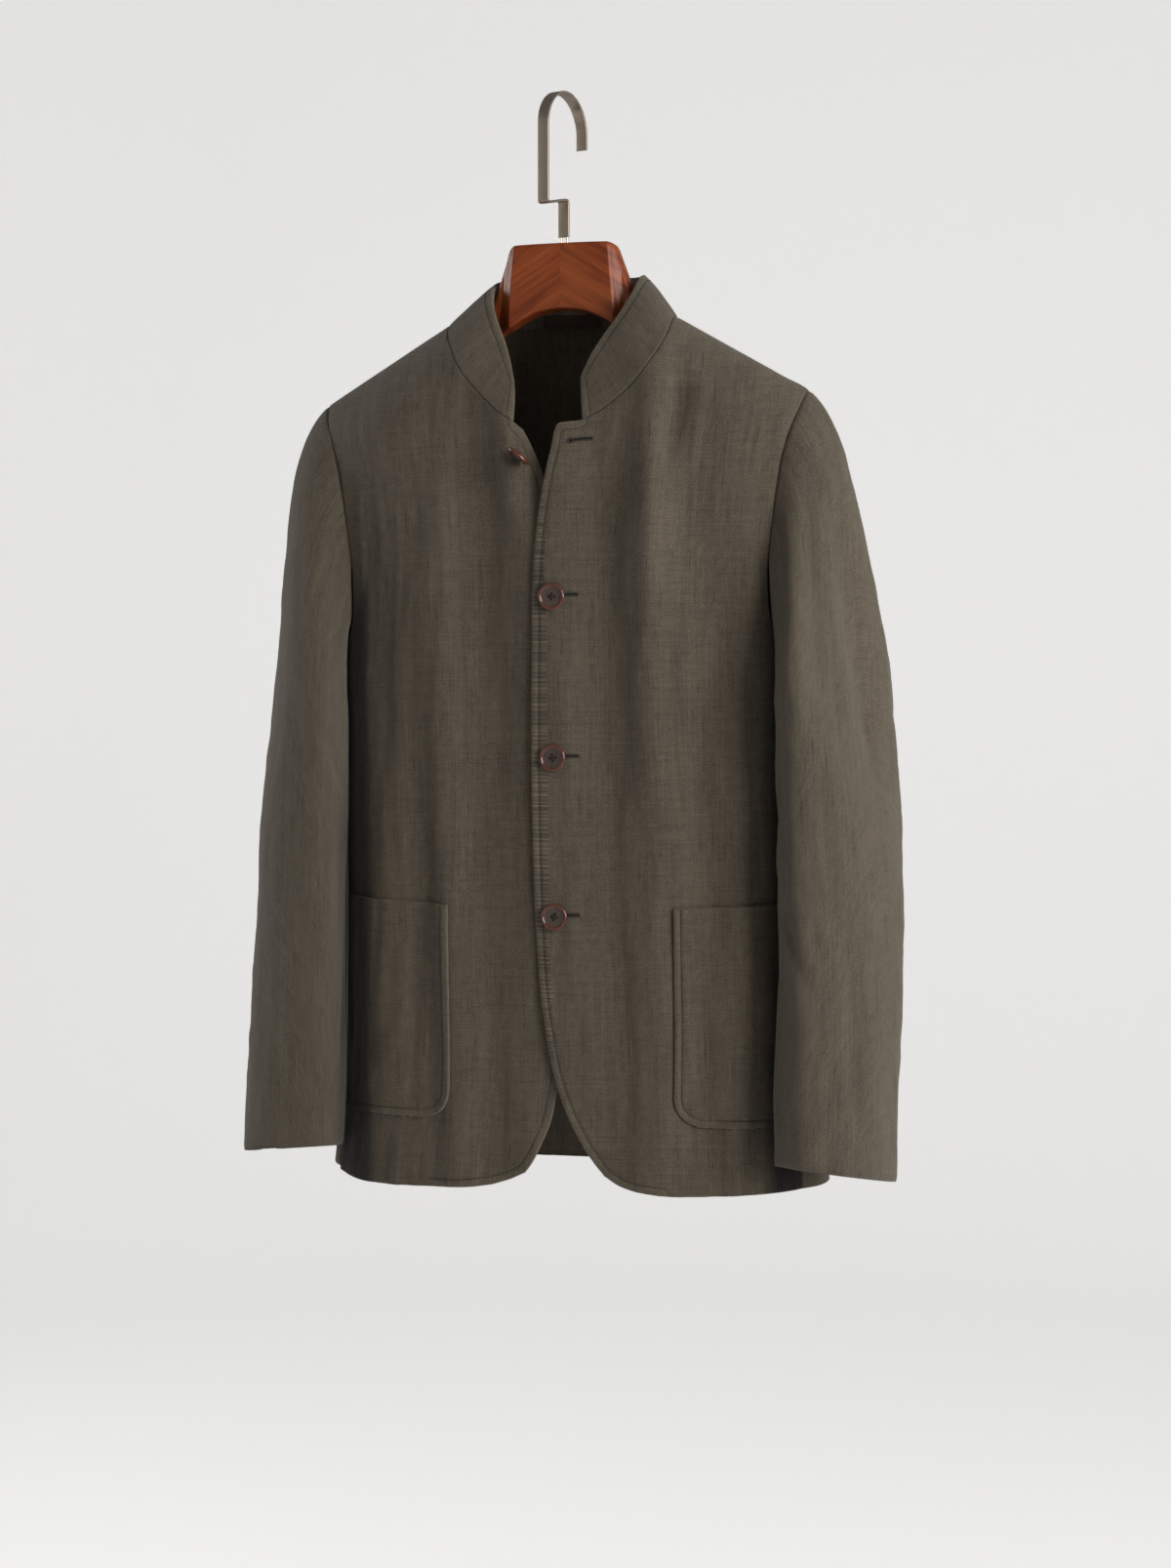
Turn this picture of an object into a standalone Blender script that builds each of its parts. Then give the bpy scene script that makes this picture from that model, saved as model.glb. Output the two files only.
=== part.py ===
"""Unlined linen jacket on a wooden hanger, built piece by piece as it is cut and sewn.

Axes: +X is the wearer's left, -Y the jacket's front, +Z up.  The origin is the top of the
hook's bend on the inside, where the hanger hangs.  The tables and sizes are millimetres and
become metres when a mesh is made.

The body of the jacket is one smooth form.  At each height its section is a superellipse,
and a rounding gathers that section up to the sloping shoulder line.  A point on the form is
named by a turn (0 centre front, 1 widest at the side, 2 centre back) and a height.  Every
cloth piece is a four-sided patch of such points, given its thickness inwards.
"""

import bpy
import numpy as np

MM = 0.001
SEAM_GAP = 0.3
SLEEVE_SEAM_GAP = 0.7
CLOTH = 1.8
COLLAR_CLOTH = 2.4
LAP_GAP = 0.4
SECTION_POWER = 2.5
# millimetres that stand for one turn where lengths are measured on the flat form
TURN_LENGTH = 300
RELAX_STEPS = 600
RELAX_RATE = 0.8

# ---------------------------------------------------------------- body form
# height, half width, depth of the widest point, front depth, back depth, sideways shift
BODY_COLUMNS = ("z", "half", "side", "front", "back", "shift")
BODY = [
    (-150, 222, 0, -46, 66, 0),
    (-212, 222, 0, -47, 71, 0),
    (-265, 222, 0, -50, 78, 0),
    (-320, 213, 6, -54, 88, 0),
    (-400, 205, 18, -56, 97, 0),
    (-470, 205, 30, -55, 100, 1),
    (-560, 206, 36, -52, 99, 2),
    (-700, 207, 40, -48, 96, 3),
    (-800, 209, 42, -46, 93, 4),
    (-860, 214, 42, -45, 91, 2.5),
    (-930, 221, 42, -44, 90, 1),
]

NECK_X = 98
NECK_Z = -189
SHOULDER_X = 222
SHOULDER_Z = -261
SHOULDER_ROUND_FRONT = 62
SHOULDER_ROUND_BACK = 78

# ---------------------------------------------------------------- cut lines
# height, turn of the side seam, from the underarm down
SIDE_SEAM = [(-461, 0.97), (-500, 0.93), (-580, 0.86), (-700, 0.80), (-930, 0.76)]
SHOULDER_END_X = 209
# height of the armhole seam, its distance from the centre on the front and on the back
ARMHOLE = [
    (-276, 202, 206),
    (-292, 196, 203),
    (-312, 191, 201),
    (-340, 186.5, 199),
    (-370, 183, 197),
    (-400, 180, 195),
    (-425, 179, 193),
    (-443, 181, 194),
    (-455, 189, 198),
]
# height and place of the neckline on the front, from the collar's end to the neck point
NECKLINE_LEFT = [(-275.5, 31), (-271, 42), (-264, 53), (-256, 64), (-246, 75), (-235, 84), (-219, 93),
                 (-204, 97.5)]
NECKLINE_RIGHT = [(-277, -30), (-271, -41), (-263.5, -50), (-254, -60), (-243.5, -70), (-229, -80),
                  (-214, -88), (-203, -93.5)]
NECK_BACK_Z = -187

# height and place of the front edges: the left front laps over the right one
EDGE_LEFT = [
    (-280, 9.5),
    (-284, 6.5),
    (-296, 4.5),
    (-325, -2),
    (-380, -9.5),
    (-426, -12),
    (-600, -13.5),
    (-690, -11.5),
    (-740, -9),
    (-780, -4),
    (-803, 0),
    (-820, 3.5),
    (-838, 9),
    (-858, 17),
    (-878, 27),
    (-893, 37),
    (-904, 46),
]
EDGE_RIGHT = [
    (-284, -22),
    (-294, -17),
    (-310, -10),
    (-330, -2),
    (-380, 12),
    (-440, 20),
    (-600, 22),
    (-740, 19),
    (-800, 12),
    (-836, 5),
    (-860, 0),
    (-880, -8),
    (-894, -15),
    (-904, -22.5),
]
COLLAR_END_LEFT = (-277.5, 29)
COLLAR_END_RIGHT = (-278, -29)
# turn fraction along the hem, height
HEM_LEFT = [(0.0, -904), (0.06, -911.5), (0.14, -916), (0.3, -919), (0.7, -917), (1.0, -914)]
HEM_RIGHT = [(0.0, -904), (0.07, -911.5), (0.15, -917), (0.3, -920), (0.7, -922), (1.0, -917)]
HEM_BACK = [(0.0, -914), (0.4, -914), (1.0, -912)]

# ---------------------------------------------------------------- sleeves
# height, centre across, centre in depth, long half axis, short half axis, turn of the long axis,
# and the sideways shift that both sleeves share
SLEEVE_COLUMNS = ("z", "x", "y", "long", "short", "turn", "shift")
SLEEVE = [
    (-470, 226.5, 0, 71, 32, 66, 2.5),
    (-530, 230, -3, 70, 34, 64, 2.5),
    (-600, 233.5, -7, 66, 37, 60, 2.5),
    (-680, 235.5, -12, 61, 38, 54, 3.5),
    (-760, 236.5, -18, 56, 38.5, 46, 3.5),
    (-840, 236, -24, 53, 38, 37, 2.5),
    (-905, 236.5, -28, 52, 36, 31, 1.0),
]
CAP_FOOT_Z = -470
CUFF_Z = -895
CUFF_DROP = 9
CUFF_LOW_ANGLE = 255
VENT_RISE = 4
VENT_SPREAD = 7
CAP_FOOT_DROP = 55
SLEEVE_TWIST = 24
CAP_LEAVE = 0.68
CAP_LEAVE_OUT = 0.1
CAP_ARRIVE = 0.7
CAP_STEPS = 9
SLEEVE_ROWS = 11
SLEEVE_STEPS = 30
# how much thinner the sleeve is at the armhole where it turns square to the panel
TURN_THINNING = 0.4
FRONT_SEAM_STEP = 2
BACK_SEAM_STEP = 21
# height, room kept between the sleeve and the body; beside the pockets it is widest
ROOM_COLUMNS = ("z", "room")
ROOM = [(-380, 1.2), (-435, 2.4), (-460, 6.0), (-530, 5.0), (-600, 3.6), (-650, 5.5), (-905, 5.5)]
CLEAR_FROM_Z = -380
CLEAR_SOFT = 2.0

# ---------------------------------------------------------------- collar
COLLAR_ROWS = 5
COLLAR_BOW = 1.5
# share of the neckline from the right front's end, place of the band's upper edge
COLLAR_COLUMNS = ("along", "x", "y", "z")
COLLAR = [
    (0.0, -31, -40, -244),
    (0.05, -35, -38, -228),
    (0.1, -41, -34, -210),
    (0.15, -50, -28, -190),
    (0.2, -57, -18, -172),
    (0.25, -61, 0, -156),
    (0.3, -60, 20, -150),
    (0.36, -50, 41, -148),
    (0.43, -28, 53, -146),
    (0.5, 0, 57, -145),
    (0.57, 28, 54, -146),
    (0.64, 52, 41, -148),
    (0.7, 65, 20, -150),
    (0.75, 68, 0, -153),
    (0.8, 65, -17, -166),
    (0.85, 55, -27, -187),
    (0.9, 42, -33, -207),
    (0.95, 32, -37, -224),
    (1.0, 24, -38, -241),
]

# ---------------------------------------------------------------- pockets
POCKET_WIDTH = 134
POCKET_INNER_LEFT = 102
POCKET_INNER_RIGHT = 90
POCKET_TOP_Z = -678
POCKET_BOTTOM_Z = -861
POCKET_CORNER = 26
POCKET_TOP_TILT = 0.04
POCKET_ROWS = 11
POCKET_STEPS = 12
POCKET_GAP = 0.8

# ---------------------------------------------------------------- buttons
BUTTON_STEPS = 16
# radius and height of the turned outline, from the back's centre round to the front's
BUTTON_OUTLINE = [(8.0, 0.0), (10.6, 1.2), (11.2, 2.4), (10.4, 3.6), (8.6, 3.5), (7.8, 2.4)]
BUTTON_BACK = 0.3
BUTTON_DISH = 2.1
BUTTON_X = 5.5
BUTTON_HEIGHTS = (-423, -556, -688)
LOOSE_BUTTON_PLACE = (-24.5, -303)
LOOSE_BUTTON_FACE = (-0.49, -0.48, -0.72)
LOOSE_BUTTON_STAND = 12

# ---------------------------------------------------------------- label
LABEL_FROM_X = -34
LABEL_TO_X = 18
LABEL_FOOT = 1.5
LABEL_HEIGHT = 11
LABEL_THICK = 1.0
LABEL_SEAT = 0.6

# ---------------------------------------------------------------- hanger
# distance from the centre, top, underside, front, back, squareness of the section
HANGER_COLUMNS = ("x", "top", "under", "front", "back", "power")
HANGER = [
    (0, -125, -179.5, -12, 10, 12),
    (15, -125, -181.5, -12, 10, 12),
    (30, -125.2, -188, -12, 10, 12),
    (39.5, -125.5, -194.5, -12, 10, 12),
    (44.5, -127, -197, -8, 11, 8),
    (51, -142, -201, -5, 13, 4),
    (59, -163, -206, -5, 16, 3),
    (70, -179, -213, -8, 19, 2.4),
    (86, -189, -221, -13, 22, 2.2),
    (100, -197, -229, -16, 24, 2.2),
    (140, -221, -248, -20, 25, 2.2),
    (178, -245, -266, -20, 23, 2.2),
    (196, -257, -270, -14, 16, 2.2),
    (202, -263, -269, -6, 8, 2.0),
]
HANGER_STATIONS = (0, 10, 20, 30, 39.5, 44.5, 50, 54, 59, 65, 74, 86, 100, 120, 140, 160, 178, 190,
                   198, 202)
HANGER_STEPS = 20
HANGER_FLARE = 0.12
HANGER_SEAT = 0.35
ARM_FROM_X = 92
ARM_ROOM = 1.3
ARM_RIDGE = 1.0

# ---------------------------------------------------------------- hook
HOOK_WIDTH = 10.5
HOOK_THICK = 2.0
HOOK_RADIUS = 31
HOOK_TURN = 16
HOOK_FORWARD = 1.5
HOOK_TIP_Z = -41
HOOK_FRONT_FOOT_Z = -95
HOOK_JOG_Z = -88
HOOK_FOOT_Z = -119
HOOK_BEND = 3.5
PIN_RADIUS = 1.3
PIN_SPREAD = 3.0

# ---------------------------------------------------------------- large folds
# side, then place across and height of both ends, half width, depth (hollow is negative)
FRONT_FOLDS = [
    (1, 118, -228, 92, -330, 13, -5.0),
    (1, 88, -330, 84, -620, 16, 3.0),
    (1, 142, -330, 150, -560, 20, -4.0),
    (1, 60, -700, 66, -905, 16, -3.0),
    (-1, 98, -290, 104, -560, 16, 3.5),
    (-1, 140, -360, 146, -640, 18, -3.5),
    (-1, 52, -330, 60, -520, 16, -3.0),
    (-1, 70, -640, 74, -905, 18, 2.5),
]
BACK_FOLDS = [
    (1, 150, -300, 140, -560, 20, -5.0),
    (1, 96, -420, 92, -800, 18, 3.0),
    (1, 168, -640, 176, -905, 18, -3.0),
    (-1, 148, -310, 146, -590, 20, -4.5),
    (-1, 88, -500, 82, -860, 18, 3.0),
    (-1, 164, -600, 172, -905, 16, -3.5),
]
# side, then turn in degrees and height of both ends, half width, rise
SLEEVE_FOLDS = [
    (1, 40, -300, 20, -560, 12, -3.0),
    (1, 75, -560, 30, -640, 9, -3.0),
    (1, 60, -660, 110, -760, 9, -2.5),
    (1, 20, -700, 50, -880, 11, 2.5),
    (-1, 60, -330, 40, -520, 12, -2.5),
    (-1, 90, -520, 30, -600, 9, -2.5),
    (-1, 20, -600, 45, -850, 11, -2.5),
]


# ---------------------------------------------------------------- tools of the form
def column(table, names, name, at):
    """Smooth monotone reading of one named column of a table against its first column."""
    rows = np.array(table, float)
    order = np.argsort(rows[:, 0])
    place = rows[order, 0]
    value = rows[order, names.index(name)]
    return smooth_read(at, place, value)


def smooth_read(at, place, value):
    """Cubic Hermite curve through the given values, with slopes limited so it never overshoots."""
    at = np.clip(np.asarray(at, float), place[0], place[-1])
    step = np.diff(place)
    rate = np.diff(value) / step
    slope = np.zeros(len(place))
    both = np.where(rate[1:] + rate[:-1] == 0, 1, rate[1:] + rate[:-1])
    slope[1:-1] = np.where(rate[1:] * rate[:-1] > 0, 2 * rate[1:] * rate[:-1] / both, 0)
    slope[0] = rate[0]
    slope[-1] = rate[-1]
    cell = np.clip(np.searchsorted(place, at, side="right") - 1, 0, len(step) - 1)
    part = (at - place[cell]) / step[cell]
    low = value[cell]
    high = value[cell + 1]
    ease = part * part * (3 - 2 * part)
    early = part * (1 - part) ** 2 * step[cell] * slope[cell]
    late = part * part * (part - 1) * step[cell] * slope[cell + 1]
    return low + (high - low) * ease + early + late


def unit(vectors):
    """Vectors at length one."""
    return vectors / np.maximum(np.linalg.norm(vectors, axis=-1, keepdims=True), 1e-9)


def ease(part):
    """Soft step from 0 to 1."""
    part = np.clip(part, 0, 1)
    return part * part * (3 - 2 * part)


def fold_height(across, up, folds, side):
    """Sum of soft ridges: each is a bell across its line that fades out at both ends."""
    total = np.zeros(np.broadcast(across, up).shape)
    for fold_side, x1, z1, x2, z2, half, rise in folds:
        if fold_side != side:
            continue
        along = (z1 - up) / (z1 - z2)
        middle = x1 + (x2 - x1) * along
        fade = ease(along / 0.3) * ease((1 - along) / 0.3)
        total = total + rise * fade * np.exp(-((across - middle) / half) ** 2)
    return total


# ---------------------------------------------------------------- body form
def shoulder_height(across):
    """Height of the shoulder line above a place across."""
    slope = (SHOULDER_Z - NECK_Z) / (SHOULDER_X - NECK_X)
    return NECK_Z + slope * (np.abs(across) - NECK_X)


def body_point(turn, z, side):
    """Point of the form: turn 0 is centre front, 1 the widest side, 2 centre back."""
    turn, z = np.broadcast_arrays(np.asarray(turn, float), np.asarray(z, float))
    half = column(BODY, BODY_COLUMNS, "half", z)
    middle = column(BODY, BODY_COLUMNS, "side", z)
    front = column(BODY, BODY_COLUMNS, "front", z)
    back = column(BODY, BODY_COLUMNS, "back", z)
    across = np.sin(turn * np.pi / 2)
    reach = (1 - np.minimum(np.abs(across), 1) ** SECTION_POWER) ** (1 / SECTION_POWER)
    x = half * across
    drop = shoulder_height(x) - z
    is_front = turn < 1
    rounding = np.where(is_front, SHOULDER_ROUND_FRONT, SHOULDER_ROUND_BACK)
    part = np.clip(drop / rounding, 0, 1)
    gather = np.sqrt(1 - (1 - part) ** 2)
    y = middle + np.where(is_front, front - middle, back - middle) * reach * gather
    fold_front = fold_height(x, z, FRONT_FOLDS, side)
    fold_back = fold_height(x, z, BACK_FOLDS, side)
    y = y + np.where(is_front, -fold_front, fold_back) * reach
    shift = column(BODY, BODY_COLUMNS, "shift", z)
    return np.stack([side * x + shift, y, z], -1)


def body_normal(turn, z, side):
    """Outward direction of the form, from small steps along turn and height."""
    small_turn = 0.002
    small_z = 0.4
    turn, z = np.broadcast_arrays(np.asarray(turn, float), np.asarray(z, float))
    around = body_point(turn + small_turn, z, side) - body_point(turn - small_turn, z, side)
    along = body_point(turn, z + small_z, side) - body_point(turn, z - small_z, side)
    normal = unit(np.cross(around, along)) * side
    slope = (SHOULDER_Z - NECK_Z) / (SHOULDER_X - NECK_X)
    ridge = unit(np.array([-slope * side, 0.0, 1.0]))
    x = column(BODY, BODY_COLUMNS, "half", z) * np.sin(turn * np.pi / 2)
    near = 1 - ease((shoulder_height(x) - z) / 2.5)
    return unit(normal * (1 - near[..., None]) + ridge * near[..., None])


def turn_at(x, z, back=False):
    """Turn whose point lies at a given distance from the centre."""
    part = np.clip(np.asarray(x, float) / column(BODY, BODY_COLUMNS, "half", z), -1, 1)
    turn = np.arcsin(part) * 2 / np.pi
    return 2 - turn if back else turn


# ---------------------------------------------------------------- patches
def spaced(points, shares):
    """Places read off a line of (turn, height) points at the given shares of its length."""
    points = np.array(points, float)
    scale = np.array([TURN_LENGTH, 1.0])
    length = np.concatenate([[0], np.cumsum(np.linalg.norm(np.diff(points * scale, axis=0), axis=1))])
    wanted = np.array(shares) * length[-1]
    return np.stack([smooth_read(wanted, length, points[:, axis]) for axis in (0, 1)], -1)


def along_line(points, normals, shares):
    """Points and directions read off a line of joined straight runs, at shares of its length."""
    length = np.concatenate([[0], np.cumsum(np.linalg.norm(np.diff(points, axis=0), axis=1))])
    wanted = np.array(shares) * length[-1]
    read = [np.stack([np.interp(wanted, length, line[:, axis]) for axis in range(3)], -1)
            for line in (points, normals)]
    return read[0], unit(read[1])


def coons(bottom, top, left, right):
    """Four-sided patch blended from its border lines; rows run from bottom to top."""
    s = np.linspace(0, 1, len(bottom))[None, :, None]
    t = np.array(ROW_SHARE)[:, None, None]
    ruled_up = (1 - t) * bottom[None] + t * top[None]
    ruled_across = (1 - s) * left[:, None] + s * right[:, None]
    corners = ((1 - s) * (1 - t) * bottom[0] + s * (1 - t) * bottom[-1]
               + (1 - s) * t * top[0] + s * t * top[-1])
    return ruled_up + ruled_across - corners


def relaxed(grid):
    """Inner points moved until the lines of the grid follow its borders evenly and nowhere fold.

    Each step solves the smooth grid equation at every inner point with its neighbours held:
    the bend along each direction is weighted by the squared spacing in the other one.
    """
    flat = grid * np.array([TURN_LENGTH, 1.0])
    share = np.array(ROW_SHARE)
    below = (share[1:-1] - share[:-2])[:, None, None]
    above = (share[2:] - share[1:-1])[:, None, None]
    step = 1 / (grid.shape[1] - 1)
    for _ in range(RELAX_STEPS):
        up, down = flat[2:, 1:-1], flat[:-2, 1:-1]
        right, left = flat[1:-1, 2:], flat[1:-1, :-2]
        middle = flat[1:-1, 1:-1]
        rise = ((up * below ** 2 - down * above ** 2 + middle * (above ** 2 - below ** 2))
                / (below * above * (below + above)))
        run = (right - left) / (2 * step)
        twist = (flat[2:, 2:] - flat[2:, :-2] - flat[:-2, 2:] + flat[:-2, :-2]) / (2 * step * (below + above))
        weight_run = (rise ** 2).sum(-1, keepdims=True)
        weight_rise = (run ** 2).sum(-1, keepdims=True)
        skew = (rise * run).sum(-1, keepdims=True)
        total = (weight_run * (right + left) / step ** 2 - 2 * skew * twist
                 + 2 * weight_rise * (up / above + down / below) / (below + above))
        wanted = total / (2 * weight_run / step ** 2 + 2 * weight_rise / (below * above))
        flat[1:-1, 1:-1] = middle + RELAX_RATE * (wanted - middle)
    return flat / np.array([TURN_LENGTH, 1.0])


def inset_edges(grid, amount, sides):
    """Pull the named sides of a grid of points back along the surface, for the seam gap."""
    grid = grid.copy()
    if "bottom" in sides:
        grid[0] += unit(grid[1] - grid[0]) * amount
    if "top" in sides:
        grid[-1] += unit(grid[-2] - grid[-1]) * amount
    if "left" in sides:
        grid[:, 0] += unit(grid[:, 1] - grid[:, 0]) * amount
    if "right" in sides:
        grid[:, -1] += unit(grid[:, -2] - grid[:, -1]) * amount
    return grid


def material(name, colour, roughness, metallic=0.0):
    """Principled material for one piece."""
    made = bpy.data.materials.new(name)
    made.use_nodes = True
    shader = made.node_tree.nodes["Principled BSDF"]
    shader.inputs["Base Color"].default_value = (*colour, 1.0)
    shader.inputs["Roughness"].default_value = roughness
    shader.inputs["Metallic"].default_value = metallic
    return made


def add_mesh(name, points, faces, finish):
    """Object from millimetre points and faces, shaded smooth with its own material."""
    mesh = bpy.data.meshes.new(name)
    mesh.from_pydata((points * MM).tolist(), [], faces)
    mesh.update()
    mesh.shade_smooth()
    mesh.set_sharp_from_angle(angle=np.radians(40))
    mesh.materials.append(material(name, *finish))
    thing = bpy.data.objects.new(name, mesh)
    bpy.context.scene.collection.objects.link(thing)
    return thing


def grid_faces(rows, columns, start=0, flip=False, closed=False):
    """Quads of a grid of points held row by row."""
    faces = []
    for row in range(rows - 1):
        for step in range(columns if closed else columns - 1):
            a = start + row * columns + step
            b = start + row * columns + (step + 1) % columns
            quad = (a, b, b + columns, a + columns)
            faces.append(quad[::-1] if flip else quad)
    return faces


def split_faces(outer, start, flip):
    """Triangles of a grid, each quad split along the shorter diagonal of the outer surface."""
    rows, columns = outer.shape[:2]
    first = np.linalg.norm(outer[1:, 1:] - outer[:-1, :-1], axis=-1)
    second = np.linalg.norm(outer[1:, :-1] - outer[:-1, 1:], axis=-1)
    faces = []
    for row in range(rows - 1):
        for step in range(columns - 1):
            a = start + row * columns + step
            b, c, d = a + 1, a + columns + 1, a + columns
            pair = ((a, b, c), (a, c, d)) if first[row, step] <= second[row, step] else ((a, b, d), (b, c, d))
            faces += [face[::-1] if flip else face for face in pair]
    return faces


def wall(name, outer, inner, finish):
    """Closed wall between an outer and an inner grid, turned so its faces point outwards."""
    rows, columns = outer.shape[:2]
    count = rows * columns
    across = outer[rows // 2, columns // 2 + 1] - outer[rows // 2, columns // 2]
    upward = outer[rows // 2 + 1, columns // 2] - outer[rows // 2, columns // 2]
    outward = (outer - inner)[rows // 2, columns // 2]
    flip = np.dot(np.cross(across, upward), outward) < 0
    faces = split_faces(outer, 0, flip) + split_faces(outer, count, not flip)
    border = ([(0, i) for i in range(columns)] + [(i, columns - 1) for i in range(1, rows)]
              + [(rows - 1, i) for i in range(columns - 2, -1, -1)]
              + [(i, 0) for i in range(rows - 2, 0, -1)])
    ring = [row * columns + step for row, step in border]
    for here, there in zip(ring, ring[1:] + ring[:1]):
        if here < there:
            pair = ((here, here + count, there + count), (here, there + count, there))
        else:
            pair = ((here, here + count, there), (here + count, there + count, there))
        faces += [face[::-1] if flip else face for face in pair]
    points = np.concatenate([outer.reshape(-1, 3), inner.reshape(-1, 3)])
    return add_mesh(name, points, faces, finish)


LINEN = ((0.078, 0.063, 0.047), 0.85)
WOOD = ((0.19, 0.045, 0.017), 0.25)
HORN = ((0.07, 0.03, 0.018), 0.3)
LABEL = ((0.035, 0.015, 0.01), 0.7)
METAL = ((0.5, 0.4, 0.3), 0.3, 1.0)


# ---------------------------------------------------------------- fronts and backs
# share of a panel's height at which its rows of points lie, from the hem up
ROW_SHARE = (0, 0.02, 0.045, 0.075, 0.11, 0.15, 0.2, 0.26, 0.33, 0.41, 0.49, 0.58,
             0.64, 0.7, 0.76, 0.82, 0.87, 0.91, 0.945, 0.97, 0.986, 0.996, 1)
UNDERARM_ROW = 11
# steps of a panel's upper border: from the edge to the collar's end, neckline, shoulder
EDGE_STEPS = 2
NECK_STEPS = 8
BACK_NECK_STEPS = 6
SHOULDER_STEPS = 6


def side_line(back=False):
    """Side seam and armhole as (turn, height) points, from the hem to the shoulder."""
    seam = [(turn, z) for z, turn in SIDE_SEAM[::-1]]
    hem = HEM_BACK[0][1]
    seam[0] = (seam[0][0], hem)
    arm = [(float(turn_at(row[2 if back else 1], row[0], back)), row[0]) for row in ARMHOLE[::-1]]
    tip_z = float(shoulder_height(SHOULDER_END_X))
    arm.append((float(turn_at(SHOULDER_END_X, tip_z, back)), tip_z))
    return seam, arm


def joined_side(back=False):
    """Side border of a body piece: its rows up to the underarm on the seam, the rest on the armhole."""
    seam, arm = side_line(back)
    share = np.array(ROW_SHARE)
    split = share[UNDERARM_ROW]
    low = spaced(seam, share[:UNDERARM_ROW + 1] / split)
    high = spaced([seam[-1]] + arm, (share[UNDERARM_ROW:] - split) / (1 - split))
    return np.concatenate([low, high[1:]])


def place_on_front(x, z, side):
    """Turn and height of a point given by its place across and height on a front."""
    shift = float(column(BODY, BODY_COLUMNS, "shift", z))
    return float(turn_at((x - shift) * side, z)), z


def even(steps):
    """Even shares from 0 to 1."""
    return np.linspace(0, 1, steps + 1)


def front_grid(side):
    """(turn, height) grid of one front: columns from the front edge to the side."""
    left = side == 1
    neck = NECKLINE_LEFT if left else NECKLINE_RIGHT
    edge = EDGE_LEFT if left else EDGE_RIGHT
    end = COLLAR_END_LEFT if left else COLLAR_END_RIGHT
    hem = HEM_LEFT if left else HEM_RIGHT

    edge_line = spaced([place_on_front(x, z, side) for z, x in edge[::-1]], ROW_SHARE)
    corner = place_on_front(edge[0][1], edge[0][0], side)
    collar_end = place_on_front(end[1], end[0], side)
    neck_line = [collar_end] + [place_on_front(x, z, side) for z, x in neck]
    neck_line.append((float(turn_at(NECK_X, NECK_Z)), NECK_Z))
    shoulder_x = np.linspace(NECK_X, SHOULDER_END_X, SHOULDER_STEPS + 1)
    shoulder_z = shoulder_height(shoulder_x)
    shoulder_line = np.stack([turn_at(shoulder_x, shoulder_z), shoulder_z], -1)
    top = np.concatenate([spaced([corner, collar_end], even(EDGE_STEPS)),
                          spaced(neck_line, even(NECK_STEPS))[1:], shoulder_line[1:]])
    side_points = joined_side()
    share = even(len(top) - 1)
    hem_share = np.array([row[0] for row in hem])
    hem_z = smooth_read(share, hem_share, np.array([row[1] for row in hem], float))
    hem_turn = edge_line[0, 0] + (side_points[0, 0] - edge_line[0, 0]) * share
    bottom = np.stack([hem_turn, hem_z], -1)
    bottom[0] = edge_line[0]
    side_points[0] = bottom[-1]
    return relaxed(coons(bottom, top, edge_line, side_points))


def back_grid():
    """(turn, height) grid of one back: columns from the side to the centre-back seam."""
    shoulder_x = np.linspace(SHOULDER_END_X, NECK_X, SHOULDER_STEPS + 1)
    shoulder_z = shoulder_height(shoulder_x)
    shoulder_line = np.stack([turn_at(shoulder_x, shoulder_z, True), shoulder_z], -1)
    part = even(BACK_NECK_STEPS) * np.pi / 2
    neck_x = NECK_X * np.cos(part)
    neck_z = NECK_Z + (NECK_BACK_Z - NECK_Z) * np.sin(part)
    neck_line = np.stack([turn_at(neck_x, neck_z, True), neck_z], -1)
    top = np.concatenate([shoulder_line, neck_line[1:]])
    side_points = joined_side(True)
    middle_z = HEM_BACK[-1][1] + (NECK_BACK_Z - HEM_BACK[-1][1]) * np.array(ROW_SHARE)
    middle = np.stack([np.full(len(ROW_SHARE), 2.0), middle_z], -1)
    share = even(len(top) - 1)
    hem_share = np.array([row[0] for row in HEM_BACK])
    hem_z = smooth_read(share, hem_share, np.array([row[1] for row in HEM_BACK], float))
    bottom = np.stack([side_points[0, 0] + (2 - side_points[0, 0]) * share, hem_z], -1)
    side_points[0] = bottom[0]
    return relaxed(coons(bottom, top, side_points, middle))


def lap(x, z, side):
    """How far the under front's edge sits behind the top front, so the two lie flat together."""
    if side == 1:
        return np.zeros(np.shape(x))
    edge_z = np.array([row[0] for row in EDGE_LEFT[::-1]], float)
    edge_x = np.array([row[1] for row in EDGE_LEFT[::-1]], float)
    cover = smooth_read(z, edge_z, edge_x)
    depth = CLOTH + LAP_GAP + 0.6
    return depth * ease((x - cover + 42) / 34)


def roll(x, z, side):
    """Inward roll of the open right front at its top corner."""
    if side == 1:
        return np.zeros(np.shape(x))
    near_edge = ease((x + 40) / 34)
    near_top = ease((z + 372) / 80)
    return 9 * near_edge * near_top


def cloth_surface(grid, side):
    """Outer points and outward directions of a body piece."""
    points = body_point(grid[..., 0], grid[..., 1], side)
    normals = body_normal(grid[..., 0], grid[..., 1], side)
    front = (grid[..., 0] < 1)[..., None]
    sink = (lap(points[..., 0], points[..., 2], side) + roll(points[..., 0], points[..., 2], side))[..., None]
    return points - normals * sink * front, normals


def build_body():
    """The two fronts and the two backs; gives their outer points and outward directions."""
    panels = {}
    for side, word in ((1, "left"), (-1, "right")):
        for kind, places, sides in (("front_", front_grid(side), ("top", "right")),
                                    ("back_", back_grid(), ("top", "left", "right"))):
            outer, normals = cloth_surface(places, side)
            panels[kind + word] = (outer, normals)
            outer = inset_edges(outer, SEAM_GAP / 2, sides)
            wall(kind + word, outer, outer - normals * CLOTH, LINEN)
    return panels


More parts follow.
